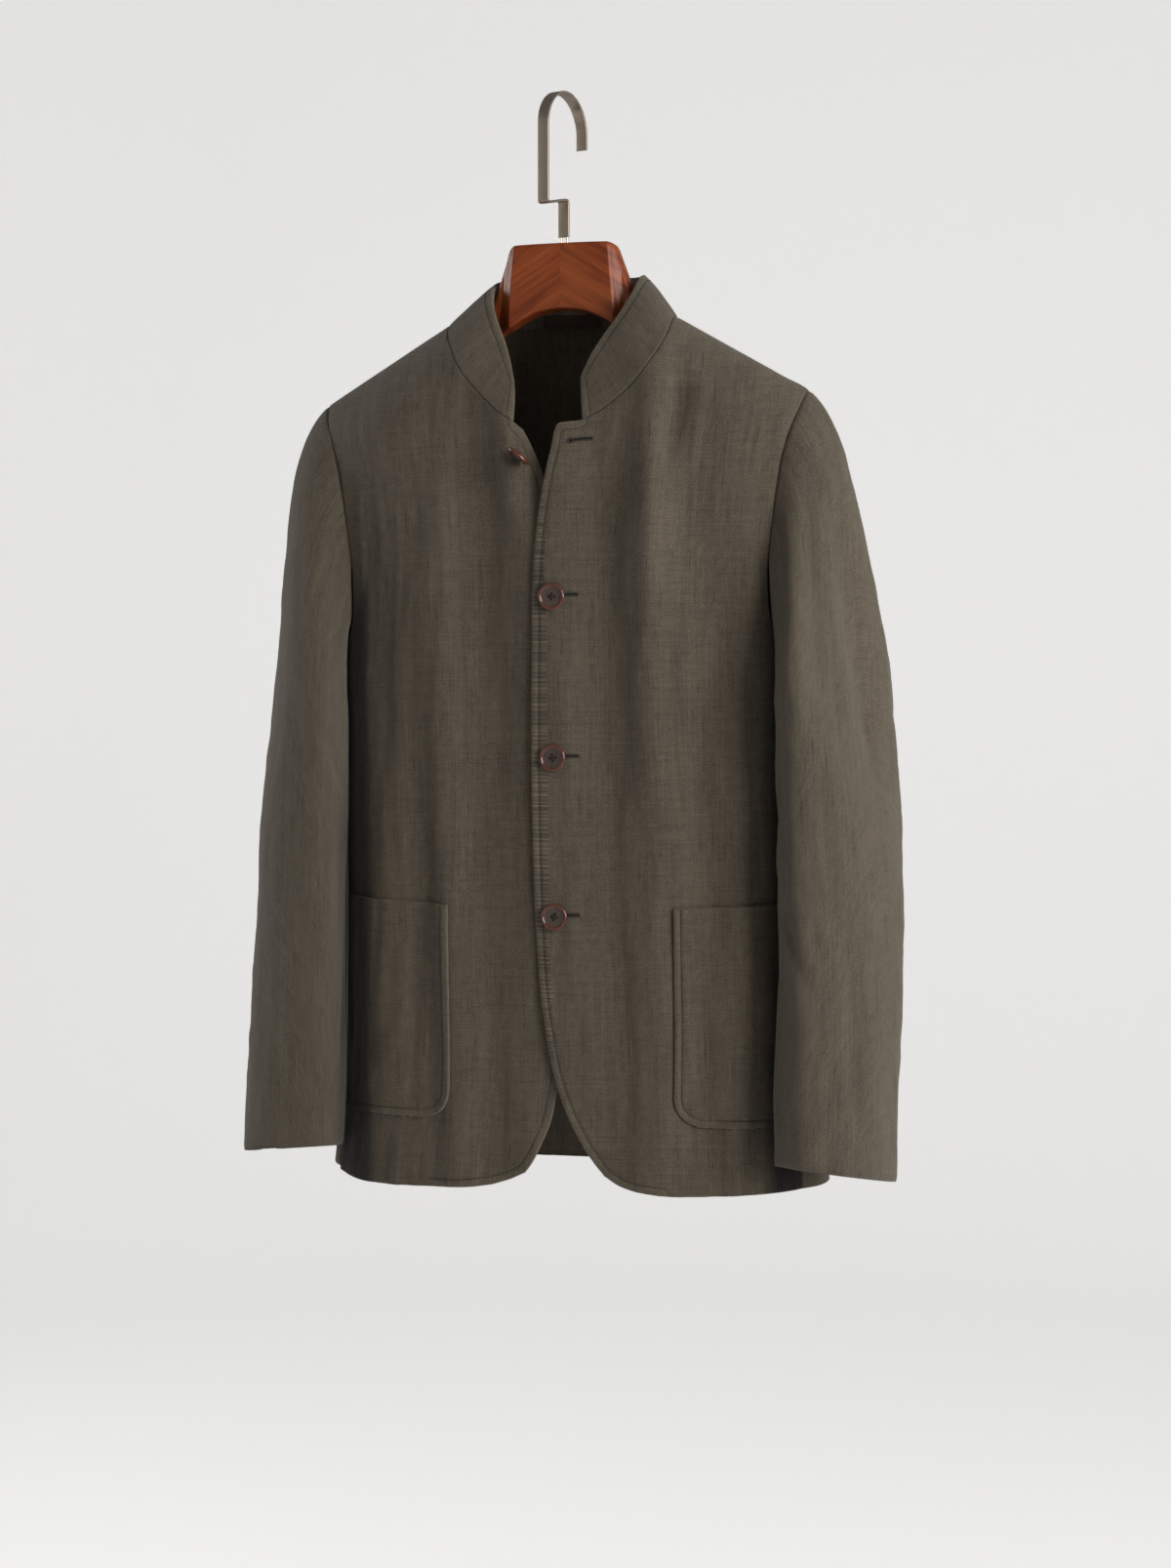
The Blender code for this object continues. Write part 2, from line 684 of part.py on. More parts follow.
# ---------------------------------------------------------------- sleeves
def armhole_loop(panels, word, angles):
    """Points and directions of the armhole seam: 0 underarm, 90 front, 180 shoulder, 270 back."""
    front, front_out = panels["front_" + word]
    back, back_out = panels["back_" + word]
    from_front = along_line(front[UNDERARM_ROW:, -1], front_out[UNDERARM_ROW:, -1], angles / 180)
    from_back = along_line(back[UNDERARM_ROW:, 0], back_out[UNDERARM_ROW:, 0], (360 - angles) / 180)
    is_front = (angles <= 180)[:, None]
    return (np.where(is_front, from_front[0], from_back[0]),
            np.where(is_front, from_front[1], from_back[1]))


def sleeve_ring(z, angles, side):
    """Section of the hanging sleeve: an ellipse whose long axis is turned back and outwards."""
    z = z + 0 * angles
    middle_x = column(SLEEVE, SLEEVE_COLUMNS, "x", z)
    middle_y = column(SLEEVE, SLEEVE_COLUMNS, "y", z)
    turned = np.radians(column(SLEEVE, SLEEVE_COLUMNS, "turn", z))
    around = np.radians(angles + 180 - SLEEVE_TWIST) - turned
    along = column(SLEEVE, SLEEVE_COLUMNS, "long", z) * np.cos(around)
    aside = column(SLEEVE, SLEEVE_COLUMNS, "short", z) * np.sin(around)
    outward = np.stack([along * np.cos(turned) - aside * np.sin(turned),
                        along * np.sin(turned) + aside * np.cos(turned)], -1)
    outward = outward + unit(outward) * fold_height(angles, z, SLEEVE_FOLDS, side)[..., None]
    shift = column(SLEEVE, SLEEVE_COLUMNS, "shift", z)
    return np.stack([side * (middle_x + outward[..., 0]) + shift, middle_y + outward[..., 1], z], -1)


def clear_of_body(points, side):
    """Sleeve points pushed outwards, softly, where they would come nearer the body than its room."""
    y, z = points[..., 1], points[..., 2]
    half = column(BODY, BODY_COLUMNS, "half", z)
    middle = column(BODY, BODY_COLUMNS, "side", z)
    front = column(BODY, BODY_COLUMNS, "front", z)
    back = column(BODY, BODY_COLUMNS, "back", z)
    shift = column(BODY, BODY_COLUMNS, "shift", z)
    depth = np.where(y < middle, middle - front, back - middle)
    part = np.clip(np.abs(y - middle) / depth, 0, 1)
    limit = half * (1 - part ** SECTION_POWER) ** (1 / SECTION_POWER) + column(ROOM, ROOM_COLUMNS, "room", z)
    reach = side * (points[..., 0] - shift)
    soft = CLEAR_SOFT * np.log1p(np.exp(np.clip((limit - reach) / CLEAR_SOFT, -30, 30)))
    near = ease((half + 40 - reach) / 40)
    moved = points.copy()
    moved[..., 0] = points[..., 0] + side * soft * near
    return moved


def cap_foot(angles):
    """Level where the sleeve head ends: lowest under the arm."""
    return CAP_FOOT_Z - CAP_FOOT_DROP * (1 + np.cos(np.radians(angles))) / 2


def cap_rows(seam, angles, side):
    """Sleeve head: cubic curves that leave the armhole outwards and bend down into the sleeve."""
    foot = sleeve_ring(cap_foot(angles), angles, side)
    outside = (1 - np.cos(np.radians(angles))) / 2
    leave = np.stack([side * (0.25 + 0.75 * outside), (foot - seam)[..., 1] / 90, -0.9 + 0.1 * outside], -1)
    reach = np.linalg.norm(foot - seam, axis=-1, keepdims=True)
    leave = unit(leave) * reach * (CAP_LEAVE + CAP_LEAVE_OUT * outside ** 3)[:, None]
    arrive = unit(sleeve_ring(cap_foot(angles) - 10, angles, side) - foot) * reach * CAP_ARRIVE
    rows = [seam]
    for part in even(CAP_STEPS)[1:]:
        row = ((2 * part ** 3 - 3 * part ** 2 + 1) * seam + (part ** 3 - 2 * part ** 2 + part) * leave
               + (3 * part ** 2 - 2 * part ** 3) * foot + (part ** 3 - part ** 2) * arrive)
        below = ease((CLEAR_FROM_Z - row[..., 2]) / 30)[..., None]
        rows.append(row + (clear_of_body(row, side) - row) * below)
    return rows


def cuff_height(angles):
    """Height of the cuff's edge: the back hangs lower, with a small vent at the back seam."""
    vent = (np.mod(angles - BACK_SEAM_STEP * 360 / SLEEVE_STEPS + 180, 360) - 180) / VENT_SPREAD
    drop = CUFF_DROP * np.cos(np.radians(angles - CUFF_LOW_ANGLE))
    return CUFF_Z - drop + VENT_RISE * np.exp(-vent ** 2)


def sleeve_surface(panels, side, word):
    """Outer points and outward directions of a whole sleeve, from the armhole to the cuff."""
    angles = np.arange(SLEEVE_STEPS) * 360.0 / SLEEVE_STEPS
    seam, seam_out = armhole_loop(panels, word, angles)
    rows = cap_rows(seam, angles, side)
    start = cap_foot(angles)
    end = cuff_height(angles)
    for part in even(SLEEVE_ROWS)[1:]:
        ring = sleeve_ring(start + (end - start) * part, angles, side)
        rows.append(clear_of_body(ring, side))
    grid = np.array(rows)
    down = np.gradient(grid, axis=0)
    around = np.roll(grid, -1, axis=1) - np.roll(grid, 1, axis=1)
    out = unit(np.cross(down, around)) * side
    agree = (out[0] * seam_out).sum(-1)[:, None]
    alike = ease((agree - 0.1) / 0.5)
    out[0] = unit(seam_out * alike + out[0] * (1 - alike)) * (1 - TURN_THINNING * (1 - np.abs(agree)))
    return grid, out


def build_sleeve(panels, side, word):
    """Top sleeve over the front and the outside, under sleeve against the body."""
    grid, out = sleeve_surface(panels, side, word)
    pieces = (("top_sleeve_", FRONT_SEAM_STEP, BACK_SEAM_STEP),
              ("under_sleeve_", BACK_SEAM_STEP - SLEEVE_STEPS, FRONT_SEAM_STEP))
    for name, first, last in pieces:
        steps = np.arange(first, last + 1)
        piece = inset_edges(grid[:, steps], SLEEVE_SEAM_GAP / 2, ("left", "right"))
        piece = inset_edges(piece, SEAM_GAP, ("bottom",))
        wall(name + word, piece, piece - out[:, steps] * CLOTH, LINEN)


# ---------------------------------------------------------------- collar
def grid_normals(grid, turn_sign):
    """Outward directions of a grid from its neighbours' differences."""
    return unit(np.cross(np.gradient(grid, axis=1), np.gradient(grid, axis=0))) * turn_sign


def neckline(panels):
    """Neckline on the panels from the right front's end round the back to the left front's end."""
    front = slice(EDGE_STEPS, EDGE_STEPS + NECK_STEPS + 1)
    back = slice(SHOULDER_STEPS, SHOULDER_STEPS + BACK_NECK_STEPS + 1)
    joined = []
    for which in (0, 1):
        joined.append(np.concatenate([
            panels["front_right"][which][-1, front][:-1],
            panels["back_right"][which][-1, back],
            panels["back_left"][which][-1, back][-2::-1],
            panels["front_left"][which][-1, front][-2::-1],
        ]))
    return joined


def build_collar(panels):
    """Stand collar: a band that rises from the neckline to its upper edge, bowed a little outwards."""
    base, normals = neckline(panels)
    length = np.concatenate([[0], np.cumsum(np.linalg.norm(np.diff(base, axis=0), axis=1))])
    along = length / length[-1]
    top = np.stack([column(COLLAR, COLLAR_COLUMNS, axis, along) for axis in ("x", "y", "z")], -1)
    tangent = unit(np.gradient(base, axis=0))
    start = base + unit(np.cross(tangent, normals)) * SEAM_GAP
    inward = unit(np.cross(tangent, top - base))
    rows = []
    for part in even(COLLAR_ROWS - 1):
        rows.append(start + (top - start) * part - inward * COLLAR_BOW * np.sin(np.pi * part))
    grid = np.array(rows)
    out = grid_normals(grid, -1)
    out[0] = normals
    wall("collar", grid, grid - out * COLLAR_CLOTH, LINEN)
    return grid, out


# ---------------------------------------------------------------- pieces laid on a panel
def turn_along(start_x, lengths, z, side):
    """Turns that lie at given lengths round the form from a starting place."""
    turns = np.linspace(0, 1.2, 241)
    line = body_point(turns, z, side)
    travelled = np.concatenate([[0], np.cumsum(np.linalg.norm(np.diff(line, axis=0), axis=1))])
    origin = np.interp(float(turn_at(start_x, z)), turns, travelled)
    return np.interp(origin + lengths, travelled, turns)


def build_pocket(side, word, start_x):
    """Patch pocket laid on a front: square at the top, rounded at its lower corners."""
    rows = []
    across = np.linspace(0, 1, POCKET_STEPS)
    for part in 1 - np.cos(np.linspace(0, np.pi / 2, POCKET_ROWS)):
        z = POCKET_BOTTOM_Z + (POCKET_TOP_Z - POCKET_BOTTOM_Z) * part
        above = min((z - POCKET_BOTTOM_Z) / POCKET_CORNER, 1)
        corner = POCKET_CORNER * (1 - np.sqrt(1 - (1 - above) ** 2))
        lengths = corner + (POCKET_WIDTH - 2 * corner) * across
        turns = turn_along(start_x, lengths, z, side)
        rows.append(np.stack([turns, z + POCKET_TOP_TILT * part * (lengths - POCKET_WIDTH / 3)], -1))
    points, normals = cloth_surface(np.array(rows), side)
    inner = points + normals * POCKET_GAP
    wall("pocket_" + word, inner + normals * CLOTH, inner, LINEN)


def build_button(name, centre, face):
    """Turned button: rounded rim, dished front."""
    face = unit(np.array(face, float))
    first = unit(np.cross(face, [0.0, 0.0, 1.0]))
    second = np.cross(face, first)
    angles = np.linspace(0, 2 * np.pi, BUTTON_STEPS, endpoint=False)
    ring = np.cos(angles)[:, None] * first + np.sin(angles)[:, None] * second
    points = [centre + ring * radius + face * height for radius, height in BUTTON_OUTLINE]
    points = np.concatenate(points + [[centre + face * BUTTON_BACK, centre + face * BUTTON_DISH]])
    count = len(BUTTON_OUTLINE)
    faces = grid_faces(count, BUTTON_STEPS, 0, False, True)
    back = count * BUTTON_STEPS
    for step in range(BUTTON_STEPS):
        after = (step + 1) % BUTTON_STEPS
        last = (count - 1) * BUTTON_STEPS
        faces.append((after, step, back))
        faces.append((last + step, last + after, back + 1))
    add_mesh(name, points, faces, HORN)


def build_buttons():
    """Three buttons done up on the left front and the open top one on the right front."""
    for index, z in enumerate(BUTTON_HEIGHTS):
        turn, z = place_on_front(BUTTON_X, z, 1)
        points, normals = cloth_surface(np.array([[turn, z]]), 1)
        build_button(f"button_{index + 2}", points[0] + normals[0] * SEAM_GAP, normals[0])
    turn, z = place_on_front(*LOOSE_BUTTON_PLACE, -1)
    points, normals = cloth_surface(np.array([[turn, z]]), -1)
    build_button("button_1", points[0] + normals[0] * LOOSE_BUTTON_STAND, LOOSE_BUTTON_FACE)


def build_label(collar, out):
    """Blank label on the inside of the back collar, just above the neck seam."""
    xs = collar[0, :, 0]
    middle = slice(NECK_STEPS + 1, len(xs) - NECK_STEPS - 1)
    between = [x for x in xs[middle] if LABEL_FROM_X + 2 < x < LABEL_TO_X - 2]
    wanted = np.array([LABEL_FROM_X, *between, LABEL_TO_X])
    low = np.stack([np.interp(wanted, xs[middle], collar[0, middle, axis]) for axis in range(3)], -1)
    high = np.stack([np.interp(wanted, xs[middle], collar[-1, middle, axis]) for axis in range(3)], -1)
    facing = np.stack([np.interp(wanted, xs[middle], out[2, middle, axis]) for axis in range(3)], -1)
    rise = unit(high - low)
    rows = [low + rise * (LABEL_FOOT + LABEL_HEIGHT * part) for part in (0, 0.5, 1)]
    cover = np.array(rows) - facing * (COLLAR_CLOTH + LABEL_SEAT)
    wall("neck_label", cover, cover - facing * LABEL_THICK, LABEL)


# ---------------------------------------------------------------- hanger and hook
def inside_cloth(x, y, z):
    """Depths kept inside the cloth of the shoulders, measured on the form a little higher up."""
    raised = z + CLOTH + ARM_ROOM
    middle = column(BODY, BODY_COLUMNS, "side", z)
    front = body_point(turn_at(x, raised), raised, 0)[..., 1] + CLOTH + ARM_ROOM
    back = body_point(turn_at(x, raised, True), raised, 0)[..., 1] - CLOTH - ARM_ROOM
    front = np.minimum(front, middle - ARM_RIDGE)
    back = np.maximum(back, middle + ARM_RIDGE)
    return np.clip(y, front, back)


def build_hanger():
    """Wooden hanger: square arched middle, arms that round off and follow the shoulders."""
    stations = np.array([-x for x in HANGER_STATIONS[:0:-1]] + list(HANGER_STATIONS), float)
    reach = np.abs(stations)
    angles = np.radians(np.arange(HANGER_STEPS) * 360 / HANGER_STEPS + 9)
    top = column(HANGER, HANGER_COLUMNS, "top", reach)
    slope = (SHOULDER_Z - NECK_Z) / (SHOULDER_X - NECK_X)
    under_cloth = shoulder_height(reach) - (CLOTH + HANGER_SEAT) * np.hypot(1, slope)
    top = np.where(reach > ARM_FROM_X, np.minimum(top, under_cloth), top)
    under = column(HANGER, HANGER_COLUMNS, "under", reach)
    front = column(HANGER, HANGER_COLUMNS, "front", reach)
    back = column(HANGER, HANGER_COLUMNS, "back", reach)
    power = 2 / column(HANGER, HANGER_COLUMNS, "power", reach)[:, None]
    cosine = np.sign(np.cos(angles)) * np.abs(np.cos(angles)) ** power
    sine = np.sign(np.sin(angles)) * np.abs(np.sin(angles)) ** power
    y = ((front + back) / 2)[:, None] + ((back - front) / 2)[:, None] * cosine
    z = ((top + under) / 2)[:, None] + ((top - under) / 2)[:, None] * sine
    flare = HANGER_FLARE * np.clip((top[:, None] - z) / 55, 0, 1) * (1 - ease((reach[:, None] - 46) / 16))
    x = stations[:, None] * (1 + flare)
    y = np.where(reach[:, None] > ARM_FROM_X, inside_cloth(np.abs(x), y, z), y)
    points = np.stack([x, y, z], -1)
    rows = len(stations)
    ends = np.array([points[0].mean(0), points[-1].mean(0)])
    faces = grid_faces(rows, HANGER_STEPS, 0, False, True)
    total = rows * HANGER_STEPS
    for step in range(HANGER_STEPS):
        after = (step + 1) % HANGER_STEPS
        last = (rows - 1) * HANGER_STEPS
        faces.append((after, step, total))
        faces.append((last + step, last + after, total + 1))
    add_mesh("hanger_body", np.concatenate([points.reshape(-1, 3), ends]), faces, WOOD)


def bend(corner, before, after, radius, steps=5):
    """Points of a rounded corner between two straight runs, as a quadratic curve."""
    corner = np.array(corner, float)
    start = corner + unit(np.array(before, float) - corner) * radius
    end = corner + unit(np.array(after, float) - corner) * radius
    part = np.linspace(0, 1, steps)[:, None]
    return (1 - part) ** 2 * start + 2 * part * (1 - part) * corner + part ** 2 * end


def hook_path():
    """Line of the flat hook in its own plane: forward distance and height, foot to tip."""
    forward = HOOK_RADIUS + HOOK_FORWARD
    rear = HOOK_RADIUS - HOOK_FORWARD
    foot = (0, HOOK_FOOT_Z)
    jog_back = (0, HOOK_JOG_Z)
    jog_front = (forward, HOOK_FRONT_FOOT_Z)
    spring = (forward, 1 - HOOK_RADIUS)
    arc = np.radians(np.linspace(0, 180, 19))
    over = np.stack([HOOK_FORWARD + HOOK_RADIUS * np.cos(arc),
                     1 - HOOK_RADIUS + HOOK_RADIUS * np.sin(arc)], -1)
    return np.concatenate([[foot], bend(jog_back, foot, jog_front, HOOK_BEND),
                           bend(jog_front, jog_back, spring, HOOK_BEND), over, [(-rear, HOOK_TIP_Z)]])


def build_hook():
    """Flat metal hook swept along its line, and the two pins that join it to the wood."""
    path = hook_path()
    turned = np.radians(HOOK_TURN)
    forward = np.array([-np.sin(turned), -np.cos(turned), 0])
    aside = np.array([np.cos(turned), -np.sin(turned), 0])
    direction = unit(np.gradient(path, axis=0))
    thick = np.stack([-direction[:, 1], direction[:, 0]], -1) * HOOK_THICK / 2
    rings = []
    for width, depth in ((-1, -1), (1, -1), (1, 1), (-1, 1)):
        place = path + thick * depth
        edge = aside * HOOK_WIDTH / 2 * width
        rings.append(place[:, :1] * forward + place[:, 1:] * np.array([0, 0, 1.0]) + edge)
    points = np.stack(rings, 1)
    rows = len(path)
    faces = grid_faces(rows, 4, 0, False, True)
    ends = [(3, 2, 1, 0), tuple(4 * (rows - 1) + step for step in range(4))]
    faces += ends
    add_mesh("hanger_hook", points.reshape(-1, 3), faces, METAL)
    low = HANGER[0][1] + SEAM_GAP
    high = HOOK_FOOT_Z - SEAM_GAP
    angles = np.linspace(0, 2 * np.pi, 10, endpoint=False)
    circle = np.stack([np.cos(angles), np.sin(angles), 0 * angles], -1) * PIN_RADIUS
    for index, way in enumerate((-1, 1)):
        centre = aside * PIN_SPREAD * way
        points = np.concatenate([circle + centre + [0, 0, low], circle + centre + [0, 0, high]])
        faces = grid_faces(2, 10, 0, False, True) + [tuple(range(9, -1, -1)), tuple(range(10, 20))]
        add_mesh(f"hook_pin_{index + 1}", points, faces, METAL)


# ---------------------------------------------------------------- whole jacket
def build_jacket():
    """All the pieces, in the order in which they would be sewn."""
    for old in list(bpy.data.objects):
        bpy.data.objects.remove(old)
    panels = build_body()
    for side, word in ((1, "left"), (-1, "right")):
        build_sleeve(panels, side, word)
    collar, out = build_collar(panels)
    build_pocket(1, "left", POCKET_INNER_LEFT)
    build_pocket(-1, "right", POCKET_INNER_RIGHT)
    build_buttons()
    build_label(collar, out)
    build_hanger()
    build_hook()


build_jacket()
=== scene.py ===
"""Looks of the unlined linen jacket on its wooden hanger.

Axes: +X is the wearer's left, -Y the jacket's front, +Z up.  The tables and sizes are
millimetres and become metres when a mesh is made.  The jacket's form is the one that its
solids were cut from, here read at finer steps, rumpled, rolled at its seams, stitched and
given its cloth.
"""

import bpy
import mathutils
import numpy as np
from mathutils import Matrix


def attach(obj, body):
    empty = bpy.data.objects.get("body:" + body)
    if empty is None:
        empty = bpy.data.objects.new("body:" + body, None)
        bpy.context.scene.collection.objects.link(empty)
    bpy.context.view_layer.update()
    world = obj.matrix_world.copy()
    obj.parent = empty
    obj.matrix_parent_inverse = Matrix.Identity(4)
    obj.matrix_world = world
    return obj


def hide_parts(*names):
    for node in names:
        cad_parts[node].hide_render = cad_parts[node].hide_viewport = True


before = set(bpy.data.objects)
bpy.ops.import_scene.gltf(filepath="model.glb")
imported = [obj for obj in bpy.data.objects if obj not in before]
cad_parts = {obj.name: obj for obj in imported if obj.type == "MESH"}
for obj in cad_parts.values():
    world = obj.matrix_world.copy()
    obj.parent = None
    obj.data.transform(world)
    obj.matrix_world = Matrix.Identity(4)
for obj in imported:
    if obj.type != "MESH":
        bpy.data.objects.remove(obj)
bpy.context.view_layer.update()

MM = 0.001
SIDES = ((1, "left"), (-1, "right"))
# thickness of the cloth, of a panel as it is drawn here, and of the doubled collar
CLOTH = 1.8
PANEL_THICK = CLOTH - 0.4
COLLAR_CLOTH = 2.4
LAP_GAP = 0.4
SEAM_GAP = 0.3
# power of the body's section, a little squarer than an ellipse, whose power is 2
SECTION_POWER = 2.5
# length that a turn of 1 counts for while a grid is evened out, with the steps of that work
TURN_LENGTH = 300
RELAX_STEPS = 600
RELAX_RATE = 0.8

# ---------------------------------------------------------------- body form
# height, half width, depth of the widest point, front depth, back depth, sideways shift
BODY_COLUMNS = ("z", "half", "side", "front", "back", "shift")
BODY = [
    (-150, 222, 0, -46, 66, 0),
    (-212, 222, 0, -47, 71, 0),
    (-265, 222, 0, -50, 78, 0),
    (-320, 213, 6, -54, 88, 0),
    (-400, 205, 18, -56, 97, 0),
    (-470, 205, 30, -55, 100, 1),
    (-560, 206, 36, -52, 99, 2),
    (-700, 207, 40, -48, 96, 3),
    (-800, 209, 42, -46, 93, 4),
    (-860, 214, 42, -45, 91, 2.5),
    (-930, 221, 42, -44, 90, 1),
]
NECK_X = 98
NECK_Z = -189
SHOULDER_X = 222
SHOULDER_Z = -261
SHOULDER_SLOPE = (SHOULDER_Z - NECK_Z) / (SHOULDER_X - NECK_X)
SHOULDER_ROUND_FRONT = 62
SHOULDER_ROUND_BACK = 78
# drop below the shoulder line over which the form's direction leaves the ridge's own
RIDGE_BLEND = 2.5
# steps along turn and height that give the form's direction
SMALL_TURN = 0.002
SMALL_RISE = 0.4
# height and half width at which lengths round the chest are measured
CHEST_Z = -560
CHEST_HALF = 205

# ---------------------------------------------------------------- cut lines
SIDE_SEAM = [(-461, 0.97), (-500, 0.93), (-580, 0.86), (-700, 0.80), (-930, 0.76)]
SHOULDER_END_X = 209
# height of the armhole seam, its distance from the centre on the front and on the back
ARMHOLE = [
    (-276, 202, 206),
    (-292, 196, 203),
    (-312, 191, 201),
    (-340, 186.5, 199),
    (-370, 183, 197),
    (-400, 180, 195),
    (-425, 179, 193),
    (-443, 181, 194),
    (-455, 189, 198),
]
NECKLINE_LEFT = [(-275.5, 31), (-271, 42), (-264, 53), (-256, 64), (-246, 75), (-235, 84), (-219, 93),
                 (-204, 97.5)]
NECKLINE_RIGHT = [(-277, -30), (-271, -41), (-263.5, -50), (-254, -60), (-243.5, -70), (-229, -80),
                  (-214, -88), (-203, -93.5)]
NECK_BACK_Z = -187
# height and place of the front edges: the left front laps over the right one
EDGE_LEFT = [
    (-280, 9.5),
    (-284, 6.5),
    (-296, 4.5),
    (-325, -2),
    (-380, -9.5),
    (-426, -12),
    (-600, -13.5),
    (-690, -11.5),
    (-740, -9),
    (-780, -4),
    (-803, 0),
    (-820, 3.5),
    (-838, 9),
    (-858, 17),
    (-878, 27),
    (-893, 37),
    (-904, 46),
]
EDGE_RIGHT = [
    (-284, -22),
    (-294, -17),
    (-310, -10),
    (-330, -2),
    (-380, 12),
    (-440, 20),
    (-600, 22),
    (-740, 19),
    (-800, 12),
    (-836, 5),
    (-860, 0),
    (-880, -8),
    (-894, -15),
    (-904, -22.5),
]
COLLAR_END_LEFT = (-277.5, 29)
COLLAR_END_RIGHT = (-278, -29)
# turn fraction along the hem, height
HEM_LEFT = [(0.0, -904), (0.06, -911.5), (0.14, -916), (0.3, -919), (0.7, -917), (1.0, -914)]
HEM_RIGHT = [(0.0, -904), (0.07, -911.5), (0.15, -917), (0.3, -920), (0.7, -922), (1.0, -917)]
HEM_BACK = [(0.0, -914), (0.4, -914), (1.0, -912)]
# share of a panel's height at which its rows of points lie, from the hem up
ROW_SHARE = (0, 0.02, 0.045, 0.075, 0.11, 0.15, 0.2, 0.26, 0.33, 0.41, 0.49, 0.58,
             0.64, 0.7, 0.76, 0.82, 0.87, 0.91, 0.945, 0.97, 0.986, 0.996, 1)
# height of a panel, for the spacing of its cloth's rows; its row at the underarm
PANEL_HEIGHT = 724
UNDERARM_ROW = 11
# steps of a panel's top edge: beside the front edge, along the neck and along the shoulder
EDGE_STEPS = 2
NECK_STEPS = 8
BACK_NECK_STEPS = 6
SHOULDER_STEPS = 6
# the under front begins to sink behind the upper one this far short of the upper one's edge
LAP_REACH = 42
LAP_WIDTH = 34
LAP_ROOM = 0.6
# the open right front rolls inwards at its top corner
ROLL_DEPTH = 9
ROLL_FROM_X = -40
ROLL_WIDTH = 34
ROLL_FROM_Z = -372
ROLL_HEIGHT = 80
# the upper front stands off the under one, beginning this far beside the centre
EDGE_STAND = 1.4
EDGE_STAND_WIDTH = 40

# ---------------------------------------------------------------- sleeves
SLEEVE_COLUMNS = ("z", "x", "y", "long", "short", "turn", "shift")
SLEEVE = [
    (-470, 226.5, 0, 71, 32, 66, 2.5),
    (-530, 230, -3, 70, 34, 64, 2.5),
    (-600, 233.5, -7, 66, 37, 60, 2.5),
    (-680, 235.5, -12, 61, 38, 54, 3.5),
    (-760, 236.5, -18, 56, 38.5, 46, 3.5),
    (-840, 236, -24, 53, 38, 37, 2.5),
    (-905, 236.5, -28, 52, 36, 31, 1.0),
]
CAP_FOOT_Z = -470
CUFF_Z = -895
CUFF_DROP = 9
CUFF_LOW_ANGLE = 255
VENT_RISE = 4
VENT_SPREAD = 7
CAP_FOOT_DROP = 55
SLEEVE_TWIST = 24
# the head leaves the armhole outwards, forwards or back, and down; then its pulls at both ends
CAP_OUTWARDS = 0.25
CAP_DEPTH = 90
CAP_DOWNWARDS = 0.9
CAP_LESS_DOWN = 0.1
CAP_LEAVE = 0.68
CAP_LEAVE_OUT = 0.1
CAP_ARRIVE = 0.7
CAP_ARRIVE_STEP = 10
SLEEVE_STEPS = 30
FRONT_SEAM_STEP = 2
BACK_SEAM_STEP = 21
# height, room kept between the sleeve and the body
ROOM_COLUMNS = ("z", "room")
ROOM = [(-380, 1.2), (-435, 2.4), (-460, 6.0), (-530, 5.0), (-600, 3.6), (-650, 5.5), (-905, 5.5)]
CLEAR_FROM_Z = -380
CLEAR_FADE = 30
CLEAR_SOFT = 2.0
CLEAR_WIDTH = 40

# ---------------------------------------------------------------- collar, pockets, buttons, label
# share of the neckline from the right front's end, place of the band's upper edge
COLLAR_COLUMNS = ("along", "x", "y", "z")
COLLAR = [
    (0.0, -31, -40, -244),
    (0.05, -35, -38, -228),
    (0.1, -41, -34, -210),
    (0.15, -50, -28, -190),
    (0.2, -57, -18, -172),
    (0.25, -61, 0, -156),
    (0.3, -60, 20, -150),
    (0.36, -50, 41, -148),
    (0.43, -28, 53, -146),
    (0.5, 0, 57, -145),
    (0.57, 28, 54, -146),
    (0.64, 52, 41, -148),
    (0.7, 65, 20, -150),
    (0.75, 68, 0, -153),
    (0.8, 65, -17, -166),
    (0.85, 55, -27, -187),
    (0.9, 42, -33, -207),
    (0.95, 32, -37, -224),
    (1.0, 24, -38, -241),
]
COLLAR_BOW = 1.5
COLLAR_BAND = 45
COLLAR_WAVES = (31, 40, 60, 0.28)
COLLAR_WAVE_BAND = 40
POCKET_WIDTH = 134
POCKET_INNER_LEFT = 102
POCKET_INNER_RIGHT = 90
POCKET_TOP_Z = -678
POCKET_BOTTOM_Z = -861
POCKET_CORNER = 26
POCKET_TOP_TILT = 0.04
POCKET_GAP = 0.8
# a pocket swells by this much inside its stitched border, with its own waves on top: their
# reach across and along and their mean height
POCKET_PUFF = 0.9
POCKET_PUFF_WIDTH = 30
POCKET_SEED = 41
POCKET_WAVES = (40, 90, 0.5)
POCKET_UV_FROM = 37
BUTTON_X = 5.5
BUTTON_HEIGHTS = (-423, -556, -688)
BUTTON_SEAT = SEAM_GAP + 0.5
LOOSE_BUTTON_PLACE = (-24.5, -303)
LOOSE_BUTTON_FACE = (-0.49, -0.48, -0.72)
LOOSE_BUTTON_STAND = 12
LABEL_FROM_X = -34
LABEL_TO_X = 18
LABEL_FOOT = 1.5
LABEL_HEIGHT = 11
LABEL_THICK = 1.0
LABEL_SEAT = 0.6
LABEL_STEPS = 39
LABEL_ROWS = 10
# columns of the collar either side of its middle that the label is read from, row it faces with
LABEL_COLUMNS = 26
LABEL_COLLAR_ROW = 9

